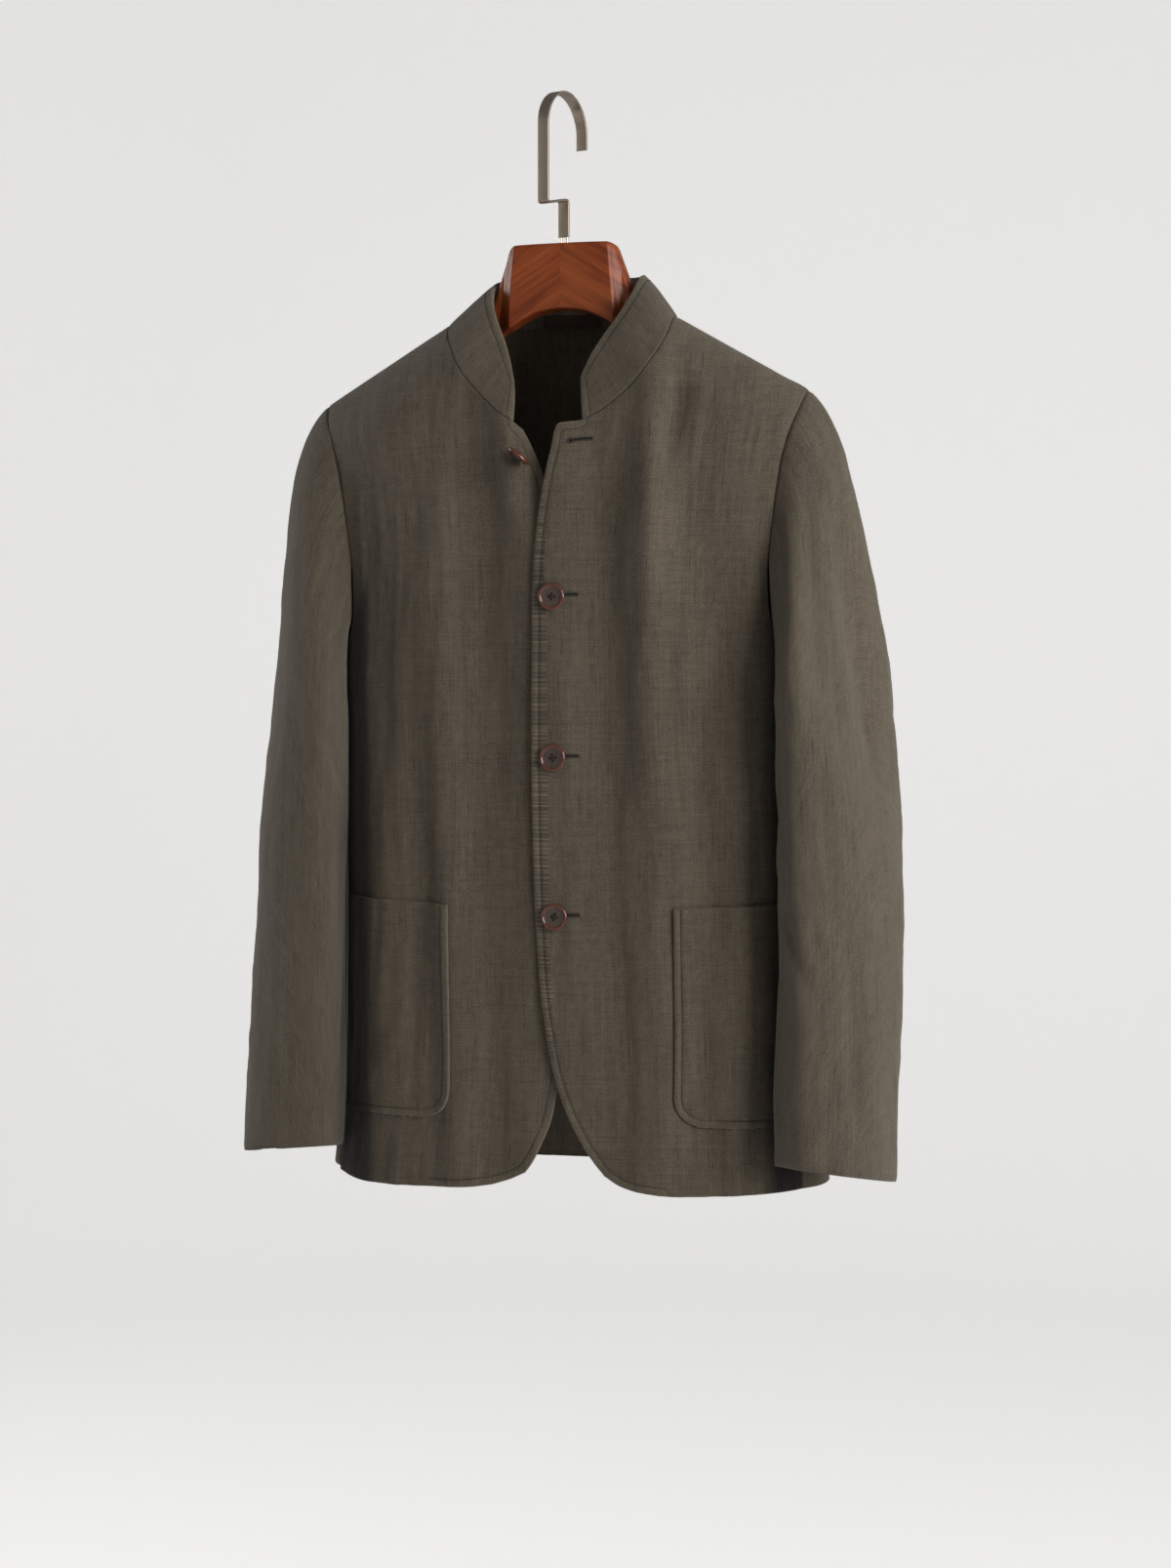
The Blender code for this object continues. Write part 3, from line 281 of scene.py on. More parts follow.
# ---------------------------------------------------------------- hanger and hook
# distance from the centre, top, underside, front, back, squareness of the section
HANGER_COLUMNS = ("x", "top", "under", "front", "back", "power")
HANGER = [
    (0, -125, -179.5, -12, 10, 12),
    (15, -125, -181.5, -12, 10, 12),
    (30, -125.2, -188, -12, 10, 12),
    (39.5, -125.5, -194.5, -12, 10, 12),
    (44.5, -127, -197, -8, 11, 8),
    (51, -142, -201, -5, 13, 4),
    (59, -163, -206, -5, 16, 3),
    (70, -179, -213, -8, 19, 2.4),
    (86, -189, -221, -13, 22, 2.2),
    (100, -197, -229, -16, 24, 2.2),
    (140, -221, -248, -20, 25, 2.2),
    (178, -245, -266, -20, 23, 2.2),
    (196, -257, -270, -14, 16, 2.2),
    (202, -263, -269, -6, 8, 2.0),
]
# the middle block widens towards its foot by this share, over its height and out to its side
HANGER_FLARE = 0.12
HANGER_BLOCK_HEIGHT = 55
HANGER_BLOCK_SIDE = 46
HANGER_BLOCK_FADE = 16
HANGER_SEAT = 0.35
ARM_FROM_X = 92
ARM_ROOM = 1.3
ARM_RIDGE = 1.0
HOOK_WIDTH = 10.5
HOOK_THICK = 2.0
HOOK_EASED = 0.45
HOOK_STEPS = 219
HOOK_RADIUS = 31
HOOK_TOP_Z = 1
HOOK_TURN = 16
HOOK_FORWARD = 1.5
HOOK_TIP_Z = -41
HOOK_FRONT_FOOT_Z = -95
HOOK_JOG_Z = -88
HOOK_FOOT_Z = -119
HOOK_BEND = 3.5

# ---------------------------------------------------------------- large folds
# side, then place across and height of both ends, half width, rise (hollow is negative)
FRONT_FOLDS = [
    (1, 118, -228, 92, -330, 13, -5.0),
    (1, 88, -330, 84, -620, 16, 3.0),
    (1, 142, -330, 150, -560, 20, -4.0),
    (1, 60, -700, 66, -905, 16, -3.0),
    (-1, 98, -290, 104, -560, 16, 3.5),
    (-1, 140, -360, 146, -640, 18, -3.5),
    (-1, 52, -330, 60, -520, 16, -3.0),
    (-1, 70, -640, 74, -905, 18, 2.5),
]
BACK_FOLDS = [
    (1, 150, -300, 140, -560, 20, -5.0),
    (1, 96, -420, 92, -800, 18, 3.0),
    (1, 168, -640, 176, -905, 18, -3.0),
    (-1, 148, -310, 146, -590, 20, -4.5),
    (-1, 88, -500, 82, -860, 18, 3.0),
    (-1, 164, -600, 172, -905, 16, -3.5),
]
# side, then turn in degrees and height of both ends, half width, rise
SLEEVE_FOLDS = [
    (1, 40, -300, 20, -560, 12, -3.0),
    (1, 75, -560, 30, -640, 9, -3.0),
    (1, 60, -660, 110, -760, 9, -2.5),
    (1, 20, -700, 50, -880, 11, 2.5),
    (-1, 60, -330, 40, -520, 12, -2.5),
    (-1, 90, -520, 30, -600, 9, -2.5),
    (-1, 20, -600, 45, -850, 11, -2.5),
]
# smaller creases that only the cloth's surface shows
FRONT_CREASES = [
    (1, 44, -190, 48, -640, 24, -6.4),
    (1, 46, -480, 46, -990, 22, -3.6),
    (1, 88, -230, 88, -700, 17, 4.6),
    (1, 90, -560, 86, -1000, 17, 3.6),
    (1, 128, -260, 130, -720, 17, -4.0),
    (1, 128, -600, 124, -960, 15, -3.0),
    (1, 157, -520, 154, -960, 13, 3.2),
    (1, 87, -170, 86, -440, 15, 5.6),
    (1, 12, -470, 20, -620, 9, 1.3),
    (1, 8, -660, 14, -800, 9, -1.2),
    (-1, 50, -180, 24, -390, 12, 6.0),
    (-1, 152, -360, 150, -1010, 26, 7.0),
    (-1, 58, -200, 55, -640, 27, -7.0),
    (-1, 57, -460, 50, -1000, 24, -5.6),
    (-1, 99, -440, 78, -1000, 15, 4.2),
    (-1, 128, -330, 132, -640, 13, 1.8),
    (-1, 112, -560, 108, -980, 13, -1.8),
    (-1, 88, -240, 92, -420, 13, 1.6),
]
BACK_CREASES = [
    (1, 60, -260, 56, -620, 16, 1.4),
    (1, 120, -320, 116, -700, 14, -1.5),
    (1, 40, -640, 44, -900, 16, -1.4),
    (-1, 58, -270, 60, -600, 16, 1.3),
    (-1, 118, -330, 112, -720, 14, -1.5),
    (-1, 44, -620, 40, -900, 16, -1.3),
]
SLEEVE_CREASES = [
    (1, 106, -290, 106, -580, 14, 4.4),
    (1, 136, -205, 134, -540, 16, -6.4),
    (1, 160, -330, 186, -610, 13, -8.5),
    (1, 190, -350, 214, -600, 12, 3.6),
    (1, 150, -300, 152, -420, 9, -1.8),
    (1, 122, -540, 156, -900, 10, -1.8),
    (1, 96, -540, 98, -960, 14, 2.4),
    (1, 78, -440, 80, -860, 9, -1.4),
    (1, 142, -620, 128, -760, 7, 0.9),
    (-1, 70, -300, 96, -420, 9, -1.8),
    (-1, 96, -330, 120, -440, 8, 1.8),
    (-1, 56, -444, 96, -470, 6, -1.7),
    (-1, 60, -500, 104, -522, 6, -1.4),
    (-1, 60, -546, 108, -566, 7, 1.3),
    (-1, 66, -560, 72, -940, 15, 1.6),
    (-1, 104, -520, 100, -940, 12, -1.2),
    (-1, 132, -420, 132, -940, 11, 1.2),
]
# cloth surface: seed, reach across and along in millimetres, mean height
COMMON_WAVES = (3, 60, 330, 0.3)
PANEL_WAVES = ((11, 46, 260, 0.45), (12, 18, 90, 0.2), (13, 9, 26, 0.085))
PANEL_SEEDS = {1: 100, -1: 20}
# sleeve: seed, most waves round the sleeve, reach along, mean height
SLEEVE_WAVES = ((21, 7, 210, 0.45), (22, 16, 62, 0.24), (23, 30, 20, 0.085))
SLEEVE_SEEDS = {1: 5, -1: -5}
WAVE_COUNT = 28
# a sleeve's rumpling fades in below its head, eases off at the cuff and is slight on its inside
SLEEVE_TOP_FADE = 60
CUFF_FADE = 30
CUFF_CALM = 0.5
INSIDE_ANGLE = 350
INSIDE_COSINE = 0.55
INSIDE_SHARE = 0.25

# share of a fold's length over which it rises at each end
FOLD_FADE = 0.3
# the rumpling fades out below the shoulder line, beside the centre front and the centre back
SHOULDER_FADE = 34
CENTRE_CALM = 24
CENTRE_FADE = 46
BACK_FADE = 0.12
# the right front's creases end before they reach under the left front
UNDER_LAP_X = 2
UNDER_LAP_FADE = 10
# turn, width and strength of the calmer strip along the side seam
SIDE_CALM_TURN = 0.93
SIDE_CALM_WIDTH = 0.16
SIDE_CALM = 0.75

# ---------------------------------------------------------------- steps of the cloth
CELL_ROWS = 5.0
CELL_COLUMNS = 5
NEAR_BORDER = (0.0, 0.06, 0.14)
SEAM_ROLL = 0.8
SEAM_ROLL_WIDTH = 1.3
SLEEVE_FINE = 5
CAP_FINE = 40
SLEEVE_FINE_ROWS = 84
# length round a sleeve of one degree, for the cloth's own pattern
SLEEVE_DEGREE = 0.98
COLLAR_FINE_ROWS = 17
COLLAR_NEAR = (0, 0.02, 0.05)
POCKET_FINE_ROWS = 64
POCKET_FINE_STEPS = 60
POCKET_NEAR = (0, 0.007, 0.016)
POCKET_TOP_ROWS = (0.991, 0.996, 1)

# ---------------------------------------------------------------- stitches and the painted shade of the gap
STITCH_INSET = 6.6
COLLAR_INSET = 7.6
POCKET_INSET = 6.2
# share of the inset that a moved line keeps from its edge; nearer points belong to a loop
INSET_KEPT = 0.97
# painted shade in the gap between body and sleeve: across each side of the body, upper end, soft height
NOOK_ACROSS = {1: (171, 189), -1: (157, 171)}
NOOK_TOP_Z = -372
NOOK_SLEEVE_TOP_Z = -560
NOOK_FADE = 70
NOOK_SLEEVE_DEGREES = 62
NOOK_SLEEVE_FADE = 34
# distance given to cloth that has no stitching near it
NO_STITCH = 60.0
HEM_STITCHED = {1: 96, -1: 110}
STITCH_PITCH = 2.5
STITCH_LENGTH = 1.7
STITCH_RADIUS = 0.24
STITCH_SIDES = 6
NEEDLE_HOLE_LENGTH = 1.0
NEEDLE_HOLE_RADIUS = 0.3
NEEDLE_HOLE_LIFT = 0.02
POCKET_STITCH_LIFT = 0.25
# place along a thread and share of its radius, from one end to the other
THREAD_SWELL = ((-0.5, 0.15), (-0.36, 0.8), (0.0, 1.0), (0.36, 0.8), (0.5, 0.15))
# a direction that no thread or wire runs along
ODD_WAY = (0.31, 0.52, 0.79)


# ---------------------------------------------------------------- tools of the form
def column(table, names, name, at):
    """Smooth monotone reading of one named column of a table against its first column."""
    rows = np.array(table, float)
    order = np.argsort(rows[:, 0])
    place = rows[order, 0]
    value = rows[order, names.index(name)]
    return smooth_read(at, place, value)


def columns(table, names, at, *wanted):
    """Several named columns of a table, read at the same places."""
    return [column(table, names, name, at) for name in wanted]


def pairs_read(at, pairs):
    """Smooth reading of (place, value) pairs given in any order."""
    rows = np.array(sorted(pairs), float)
    return smooth_read(at, rows[:, 0], rows[:, 1])


def smooth_read(at, place, value):
    """Cubic Hermite curve through the given values, with slopes limited so it never overshoots."""
    at = np.clip(np.asarray(at, float), place[0], place[-1])
    step = np.diff(place)
    rate = np.diff(value) / step
    slope = np.zeros(len(place))
    both = np.where(rate[1:] + rate[:-1] == 0, 1, rate[1:] + rate[:-1])
    slope[1:-1] = np.where(rate[1:] * rate[:-1] > 0, 2 * rate[1:] * rate[:-1] / both, 0)
    slope[0] = rate[0]
    slope[-1] = rate[-1]
    cell = np.clip(np.searchsorted(place, at, side="right") - 1, 0, len(step) - 1)
    part = (at - place[cell]) / step[cell]
    low = value[cell]
    high = value[cell + 1]
    share = part * part * (3 - 2 * part)
    early = part * (1 - part) ** 2 * step[cell] * slope[cell]
    late = part * part * (part - 1) * step[cell] * slope[cell + 1]
    return low + (high - low) * share + early + late


def unit(vectors):
    """Vectors at length one."""
    return vectors / np.maximum(np.linalg.norm(vectors, axis=-1, keepdims=True), 1e-9)


def ease(part):
    """Soft step from 0 to 1."""
    part = np.clip(part, 0, 1)
    return part * part * (3 - 2 * part)


def run_length(line):
    """Length travelled along a line of points, from 0 at its first."""
    return np.concatenate([[0], np.cumsum(np.linalg.norm(np.diff(line, axis=0), axis=1))])


def read_line(wanted, length, line):
    """Points of a line of straight runs at wanted lengths."""
    return np.stack([np.interp(wanted, length, line[:, axis]) for axis in range(line.shape[1])], -1)


def even(steps):
    """Even shares from 0 to 1."""
    return np.linspace(0, 1, steps + 1)


def closer_ends(near, inner):
    """Shares from 0 to 1 with the given ones beside both ends."""
    near = np.array(near, float)
    return np.concatenate([near, inner, 1 - near[::-1]])


def circle(count):
    """Even angles round a full turn."""
    return np.arange(count) * 2 * np.pi / count


def fold_height(across, up, folds, side):
    """Sum of soft ridges: each is a bell across its line that fades out at both ends."""
    total = np.zeros(np.broadcast(across, up).shape)
    for fold_side, x1, z1, x2, z2, half, rise in folds:
        if fold_side != side:
            continue
        along = (z1 - up) / (z1 - z2)
        middle = x1 + (x2 - x1) * along
        fade = ease(along / FOLD_FADE) * ease((1 - along) / FOLD_FADE)
        total = total + rise * fade * np.exp(-((across - middle) / half) ** 2)
    return total


def shoulder_height(across):
    """Height of the shoulder line above a place across."""
    return NECK_Z + SHOULDER_SLOPE * (np.abs(across) - NECK_X)


def rumple(across, along, waves):
    """Unevenness of hanging cloth: a sum of cosine waves with random directions and phases.

    The waves' reach across the cloth is shorter than along it, so they stand like soft folds.
    """
    seed, reach_across, reach_along, height = waves
    dice = np.random.default_rng(seed)
    total = np.zeros(np.broadcast(across, along).shape)
    for _ in range(WAVE_COUNT):
        rate_across = dice.normal() / reach_across
        rate_along = dice.normal() / reach_along
        total = total + np.cos(2 * np.pi * (across * rate_across + along * rate_along + dice.uniform()))
    return height * total / np.sqrt(WAVE_COUNT / 2)


def ring_rumple(angles, along, waves):
    """The same unevenness round a sleeve, with whole numbers of waves so that it closes."""
    seed, most, reach_along, height = waves
    dice = np.random.default_rng(seed)
    total = np.zeros(np.broadcast(angles, along).shape)
    for _ in range(WAVE_COUNT):
        number = dice.integers(-most, most + 1)
        rate_along = dice.normal() / reach_along
        lengthwise = 2 * np.pi * (along * rate_along + dice.uniform())
        total = total + np.cos(np.radians(angles) * number + lengthwise)
    return height * total / np.sqrt(WAVE_COUNT / 2)


# ---------------------------------------------------------------- body form
def body_point(turn, z, side):
    """Point of the form: turn 0 is centre front, 1 the widest side, 2 centre back."""
    turn, z = np.broadcast_arrays(np.asarray(turn, float), np.asarray(z, float))
    half, middle, front, back, shift = columns(
        BODY, BODY_COLUMNS, z, "half", "side", "front", "back", "shift")
    across = np.sin(turn * np.pi / 2)
    reach = (1 - np.minimum(np.abs(across), 1) ** SECTION_POWER) ** (1 / SECTION_POWER)
    x = half * across
    drop = shoulder_height(x) - z
    is_front = turn < 1
    rounding = np.where(is_front, SHOULDER_ROUND_FRONT, SHOULDER_ROUND_BACK)
    part = np.clip(drop / rounding, 0, 1)
    gather = np.sqrt(1 - (1 - part) ** 2)
    y = middle + np.where(is_front, front - middle, back - middle) * reach * gather
    fold_front = fold_height(x, z, FRONT_FOLDS, side)
    fold_back = fold_height(x, z, BACK_FOLDS, side)
    y = y + np.where(is_front, -fold_front, fold_back) * reach
    return np.stack([side * x + shift, y, z], -1)


def body_normal(turn, z, side):
    """Outward direction of the form, from small steps along turn and height."""
    turn, z = np.broadcast_arrays(np.asarray(turn, float), np.asarray(z, float))
    around = body_point(turn + SMALL_TURN, z, side) - body_point(turn - SMALL_TURN, z, side)
    along = body_point(turn, z + SMALL_RISE, side) - body_point(turn, z - SMALL_RISE, side)
    normal = unit(np.cross(around, along)) * side
    ridge = unit(np.array([-SHOULDER_SLOPE * side, 0.0, 1.0]))
    x = column(BODY, BODY_COLUMNS, "half", z) * np.sin(turn * np.pi / 2)
    near = (1 - ease((shoulder_height(x) - z) / RIDGE_BLEND))[..., None]
    return unit(normal * (1 - near) + ridge * near)


def turn_at(x, z, back=False):
    """Turn whose point lies at a given distance from the centre."""
    part = np.clip(np.asarray(x, float) / column(BODY, BODY_COLUMNS, "half", z), -1, 1)
    turn = np.arcsin(part) * 2 / np.pi
    return 2 - turn if back else turn


# ---------------------------------------------------------------- patches
def spaced(points, shares):
    """Places read off a line of (turn, height) points at the given shares of its length."""
    points = np.array(points, float)
    length = run_length(points * np.array([TURN_LENGTH, 1.0]))
    wanted = np.array(shares) * length[-1]
    return np.stack([smooth_read(wanted, length, points[:, axis]) for axis in (0, 1)], -1)


def along_line(points, normals, shares):
    """Points and directions read off a line of joined straight runs, at shares of its length."""
    length = run_length(points)
    wanted = np.array(shares) * length[-1]
    return read_line(wanted, length, points), unit(read_line(wanted, length, normals))


def coons(bottom, top, left, right):
    """Four-sided patch blended from its border lines; rows run from bottom to top."""
    s = np.linspace(0, 1, len(bottom))[None, :, None]
    t = np.array(ROW_SHARE)[:, None, None]
    ruled_up = (1 - t) * bottom[None] + t * top[None]
    ruled_across = (1 - s) * left[:, None] + s * right[:, None]
    corners = ((1 - s) * (1 - t) * bottom[0] + s * (1 - t) * bottom[-1]
               + (1 - s) * t * top[0] + s * t * top[-1])
    return ruled_up + ruled_across - corners


def relaxed(grid):
    """Inner points moved until the lines of the grid follow its borders evenly and nowhere fold.

    Each step solves the smooth grid equation at every inner point with its neighbours held:
    the bend along each direction is weighted by the squared spacing in the other one.
    """
    scale = np.array([TURN_LENGTH, 1.0])
    flat = grid * scale
    share = np.array(ROW_SHARE)
    below = (share[1:-1] - share[:-2])[:, None, None]
    above = (share[2:] - share[1:-1])[:, None, None]
    step = 1 / (grid.shape[1] - 1)
    for _ in range(RELAX_STEPS):
        up, down = flat[2:, 1:-1], flat[:-2, 1:-1]
        right, left = flat[1:-1, 2:], flat[1:-1, :-2]
        middle = flat[1:-1, 1:-1]
        rise = ((up * below ** 2 - down * above ** 2 + middle * (above ** 2 - below ** 2))
                / (below * above * (below + above)))
        run = (right - left) / (2 * step)
        twist = ((flat[2:, 2:] - flat[2:, :-2] - flat[:-2, 2:] + flat[:-2, :-2])
                 / (2 * step * (below + above)))
        weight_run = (rise ** 2).sum(-1, keepdims=True)
        weight_rise = (run ** 2).sum(-1, keepdims=True)
        skew = (rise * run).sum(-1, keepdims=True)
        total = (weight_run * (right + left) / step ** 2 - 2 * skew * twist
                 + 2 * weight_rise * (up / above + down / below) / (below + above))
        wanted = total / (2 * weight_run / step ** 2 + 2 * weight_rise / (below * above))
        flat[1:-1, 1:-1] = middle + RELAX_RATE * (wanted - middle)
    return flat / scale


def side_line(back=False):
    """Side seam and armhole as (turn, height) points, from the hem to the shoulder."""
    seam = [(turn, z) for z, turn in SIDE_SEAM[::-1]]
    seam[0] = (seam[0][0], HEM_BACK[0][1])
    arm = [(float(turn_at(back_x if back else front_x, z, back)), z)
           for z, front_x, back_x in ARMHOLE[::-1]]
    tip_z = float(shoulder_height(SHOULDER_END_X))
    arm.append((float(turn_at(SHOULDER_END_X, tip_z, back)), tip_z))
    return seam, arm


def joined_side(back=False):
    """Side border of a body piece: its rows up to the underarm on the seam, the rest on the armhole."""
    seam, arm = side_line(back)
    share = np.array(ROW_SHARE)
    split = share[UNDERARM_ROW]
    low = spaced(seam, share[:UNDERARM_ROW + 1] / split)
    high = spaced([seam[-1]] + arm, (share[UNDERARM_ROW:] - split) / (1 - split))
    return np.concatenate([low, high[1:]])


def front_turn(x, z, side):
    """Turn on a front of points given across and up."""
    shift = column(BODY, BODY_COLUMNS, "shift", z)
    return turn_at((x - shift) * side, z)


def place_on_front(x, z, side):
    """Turn and height of a point given by its place across and height on a front."""
    return float(front_turn(x, z, side)), z


def front_grid(side):
    """(turn, height) grid of one front: columns from the front edge to the side."""
    if side == 1:
        neck, edge, end, hem = NECKLINE_LEFT, EDGE_LEFT, COLLAR_END_LEFT, HEM_LEFT
    else:
        neck, edge, end, hem = NECKLINE_RIGHT, EDGE_RIGHT, COLLAR_END_RIGHT, HEM_RIGHT
    edge_line = spaced([place_on_front(x, z, side) for z, x in edge[::-1]], ROW_SHARE)
    corner = place_on_front(edge[0][1], edge[0][0], side)
    collar_end = place_on_front(end[1], end[0], side)
    neck_line = [collar_end] + [place_on_front(x, z, side) for z, x in neck]
    neck_line.append((float(turn_at(NECK_X, NECK_Z)), NECK_Z))
    shoulder_x = np.linspace(NECK_X, SHOULDER_END_X, SHOULDER_STEPS + 1)
    shoulder_z = shoulder_height(shoulder_x)
    shoulder_line = np.stack([turn_at(shoulder_x, shoulder_z), shoulder_z], -1)
    top = np.concatenate([spaced([corner, collar_end], even(EDGE_STEPS)),
                          spaced(neck_line, even(NECK_STEPS))[1:], shoulder_line[1:]])
    side_points = joined_side()
    share = even(len(top) - 1)
    hem_turn = edge_line[0, 0] + (side_points[0, 0] - edge_line[0, 0]) * share
    bottom = np.stack([hem_turn, pairs_read(share, hem)], -1)
    bottom[0] = edge_line[0]
    side_points[0] = bottom[-1]
    return relaxed(coons(bottom, top, edge_line, side_points))


def back_grid():
    """(turn, height) grid of one back: columns from the side to the centre-back seam."""
    shoulder_x = np.linspace(SHOULDER_END_X, NECK_X, SHOULDER_STEPS + 1)
    shoulder_z = shoulder_height(shoulder_x)
    shoulder_line = np.stack([turn_at(shoulder_x, shoulder_z, True), shoulder_z], -1)
    part = even(BACK_NECK_STEPS) * np.pi / 2
    neck_x = NECK_X * np.cos(part)
    neck_z = NECK_Z + (NECK_BACK_Z - NECK_Z) * np.sin(part)
    neck_line = np.stack([turn_at(neck_x, neck_z, True), neck_z], -1)
    top = np.concatenate([shoulder_line, neck_line[1:]])
    side_points = joined_side(True)
    middle_z = HEM_BACK[-1][1] + (NECK_BACK_Z - HEM_BACK[-1][1]) * np.array(ROW_SHARE)
    middle = np.stack([np.full(len(ROW_SHARE), 2.0), middle_z], -1)
    share = even(len(top) - 1)
    hem_turn = side_points[0, 0] + (2 - side_points[0, 0]) * share
    bottom = np.stack([hem_turn, pairs_read(share, HEM_BACK)], -1)
    side_points[0] = bottom[0]
    return relaxed(coons(bottom, top, side_points, middle))


def lap(x, z, side):
    """How far the under front's edge sits behind the top front, so the two lie flat together."""
    if side == 1:
        return np.zeros(np.shape(x))
    depth = CLOTH + LAP_GAP + LAP_ROOM
    return depth * ease((x - pairs_read(z, EDGE_LEFT) + LAP_REACH) / LAP_WIDTH)


def roll(x, z, side):
    """Inward roll of the open right front at its top corner."""
    if side == 1:
        return np.zeros(np.shape(x))
    near_edge = ease((x - ROLL_FROM_X) / ROLL_WIDTH)
    near_top = ease((z - ROLL_FROM_Z) / ROLL_HEIGHT)
    return ROLL_DEPTH * near_edge * near_top


def around_length(turn):
    """Length round the body at chest height, from centre front to a turn."""
    turns = np.linspace(0, 2, 401)
    depth = body_point(turns, CHEST_Z, 0)[:, 1]
    line = np.stack([CHEST_HALF * np.sin(turns * np.pi / 2), depth], -1)
    return np.interp(turn, turns, run_length(line))


def edge_stand(x, side):
    """How far the upper front stands off the under one, rising towards its edge."""
    if side == -1:
        return np.zeros(np.shape(x))
    return EDGE_STAND * ease((EDGE_STAND_WIDTH - x) / EDGE_STAND_WIDTH)


def cloth_points(turn, z, side):
    """Rumpled cloth of the body at turns and heights: form, lap and roll, then creases and waves.

    The waves fade out towards the shoulder line and the centre back, where two panels meet,
    and towards the centre front, where one front lies on the other and both share one wave.
    """
    smooth = body_point(turn, z, side)
    out = body_normal(turn, z, side)
    front = turn < 1
    x = smooth[..., 0]
    across = np.abs(x)
    sink = np.where(front, lap(x, z, side) + roll(x, z, side) - edge_stand(x, side), 0)
    around = around_length(np.clip(turn, 0, 2))
    below_shoulder = ease((shoulder_height(across) - z) / SHOULDER_FADE)
    from_back = ease((2 - turn) / BACK_FADE)
    own = sum(rumple(around, z, (seed + PANEL_SEEDS[side], *rest)) for seed, *rest in PANEL_WAVES)
    creases = np.where(front, fold_height(across, z, FRONT_CREASES, side),
                       fold_height(across, z, BACK_CREASES, side) * from_back)
    if side == -1:
        creases = creases * np.where(front, ease((UNDER_LAP_X - x) / UNDER_LAP_FADE), 1)
    middle = np.where(front, ease((across - CENTRE_CALM) / CENTRE_FADE), from_back)
    common = np.where(front, rumple(x, z, COMMON_WAVES), 0)
    lift = below_shoulder * (own * middle + common + creases)
    side_fade = 1 - SIDE_CALM * np.exp(-((turn - SIDE_CALM_TURN) / SIDE_CALM_WIDTH) ** 2)
    return smooth + out * (lift * side_fade - sink)[..., None], out


def reading(count, breaks, cells):
    """Matrix that reads a row of values at finer places.

    Between two breaks the values are joined by a Catmull-Rom curve; past a break the row goes
    on in a straight line.
    """
    rows = []
    for first, last in zip(breaks[:-1], breaks[1:]):
        for cell in range(first, last):
            for part in cells[cell]:
                weight = np.zeros(count)
                shares = (-0.5 * part + part ** 2 - 0.5 * part ** 3,
                          1 - 2.5 * part ** 2 + 1.5 * part ** 3,
                          0.5 * part + 2 * part ** 2 - 1.5 * part ** 3,
                          0.5 * (part ** 3 - part ** 2))
                for at, share in zip(range(cell - 1, cell + 3), shares):
                    inside = min(max(at, first), last)
                    weight[inside] += share
                    if at < first:
                        weight[first] += share
                        weight[first + 1] -= share
                    if at > last:
                        weight[last] += share
                        weight[last - 1] -= share
                rows.append(weight)
    rows.append(np.eye(count)[-1])
    return np.array(rows)


def cell_parts(numbers):
    """Places inside each cell of a row, closer together beside the row's two ends."""
    parts = [np.arange(number) / number for number in numbers]
    parts[0] = np.concatenate([NEAR_BORDER, parts[0][1:]])
    parts[-1] = np.concatenate([parts[-1], 1 - np.array(NEAR_BORDER[:0:-1])])
    return parts


def row_parts():
    """Places of the cloth's rows inside each of a panel's rows."""
    heights = np.diff(np.array(ROW_SHARE)) * PANEL_HEIGHT
    return cell_parts(np.maximum(2, np.ceil(heights / CELL_ROWS).astype(int)))


def finer(grid, column_breaks):
    """A panel's grid of (turn, height) read at cloth steps."""
    up = reading(len(ROW_SHARE), (0, UNDERARM_ROW, len(ROW_SHARE) - 1), row_parts())
    count = grid.shape[1]
    across = reading(count, column_breaks, cell_parts([CELL_COLUMNS] * (count - 1)))
    return np.einsum("ri,ijk,cj->rck", up, grid, across)


def length_along(points, axis):
    """Length travelled along one direction of a grid of points."""
    step = np.linalg.norm(np.diff(points, axis=axis), axis=-1)
    zero = np.zeros_like(np.take(step, [0], axis=axis))
    return np.concatenate([zero, np.cumsum(step, axis=axis)], axis=axis)


def border_distance(points):
    """Distances of every point of a grid from its bottom, top, left and right borders."""
    up = length_along(points, 0)
    across = length_along(points, 1)
    return up, up[-1:] - up, across, across[:, -1:] - across


def surface_normals(points, like):
    """Directions square to a grid of points, on the side that another direction names."""
    normals = unit(np.cross(np.gradient(points, axis=1), np.gradient(points, axis=0)))
    return normals * np.sign((normals * like).sum(-1, keepdims=True))


def roll_borders(points, normals, distances):
    """Borders turned down in a quarter round, as a seam pulls them or a folded edge rounds."""
    nearest = np.minimum.reduce(distances)
    part = np.clip(1 - nearest / SEAM_ROLL_WIDTH, 0, 1)
    return points - normals * (SEAM_ROLL * (1 - np.sqrt(1 - part ** 2)))[..., None]


# ---------------------------------------------------------------- meshes
def new_thing(name, data):
    """A new object in the scene, from its data."""
    thing = bpy.data.objects.new(name, data)
    bpy.context.scene.collection.objects.link(thing)
    return thing


def mesh_object(name, points, faces, finish, uv=None, values=None):
    """Object from millimetre points and faces, with a UV place and named values for each point."""
    mesh = bpy.data.meshes.new(name)
    mesh.from_pydata((points * MM).tolist(), [], faces)
    mesh.shade_smooth()
    if uv is not None:
        corner = np.empty(len(mesh.loops), np.int32)
        mesh.loops.foreach_get("vertex_index", corner)
        layer = mesh.uv_layers.new(name="cloth")
        layer.uv.foreach_set("vector", (uv[corner] * MM).astype(np.float32).ravel())
    for key, value in (values or {}).items():
        made = mesh.attributes.new(key, "FLOAT", "POINT")
        made.data.foreach_set("value", np.asarray(value, np.float32).ravel())
    mesh.materials.append(finish)
    thing = new_thing(name, mesh)
    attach(thing, "root")
    return thing


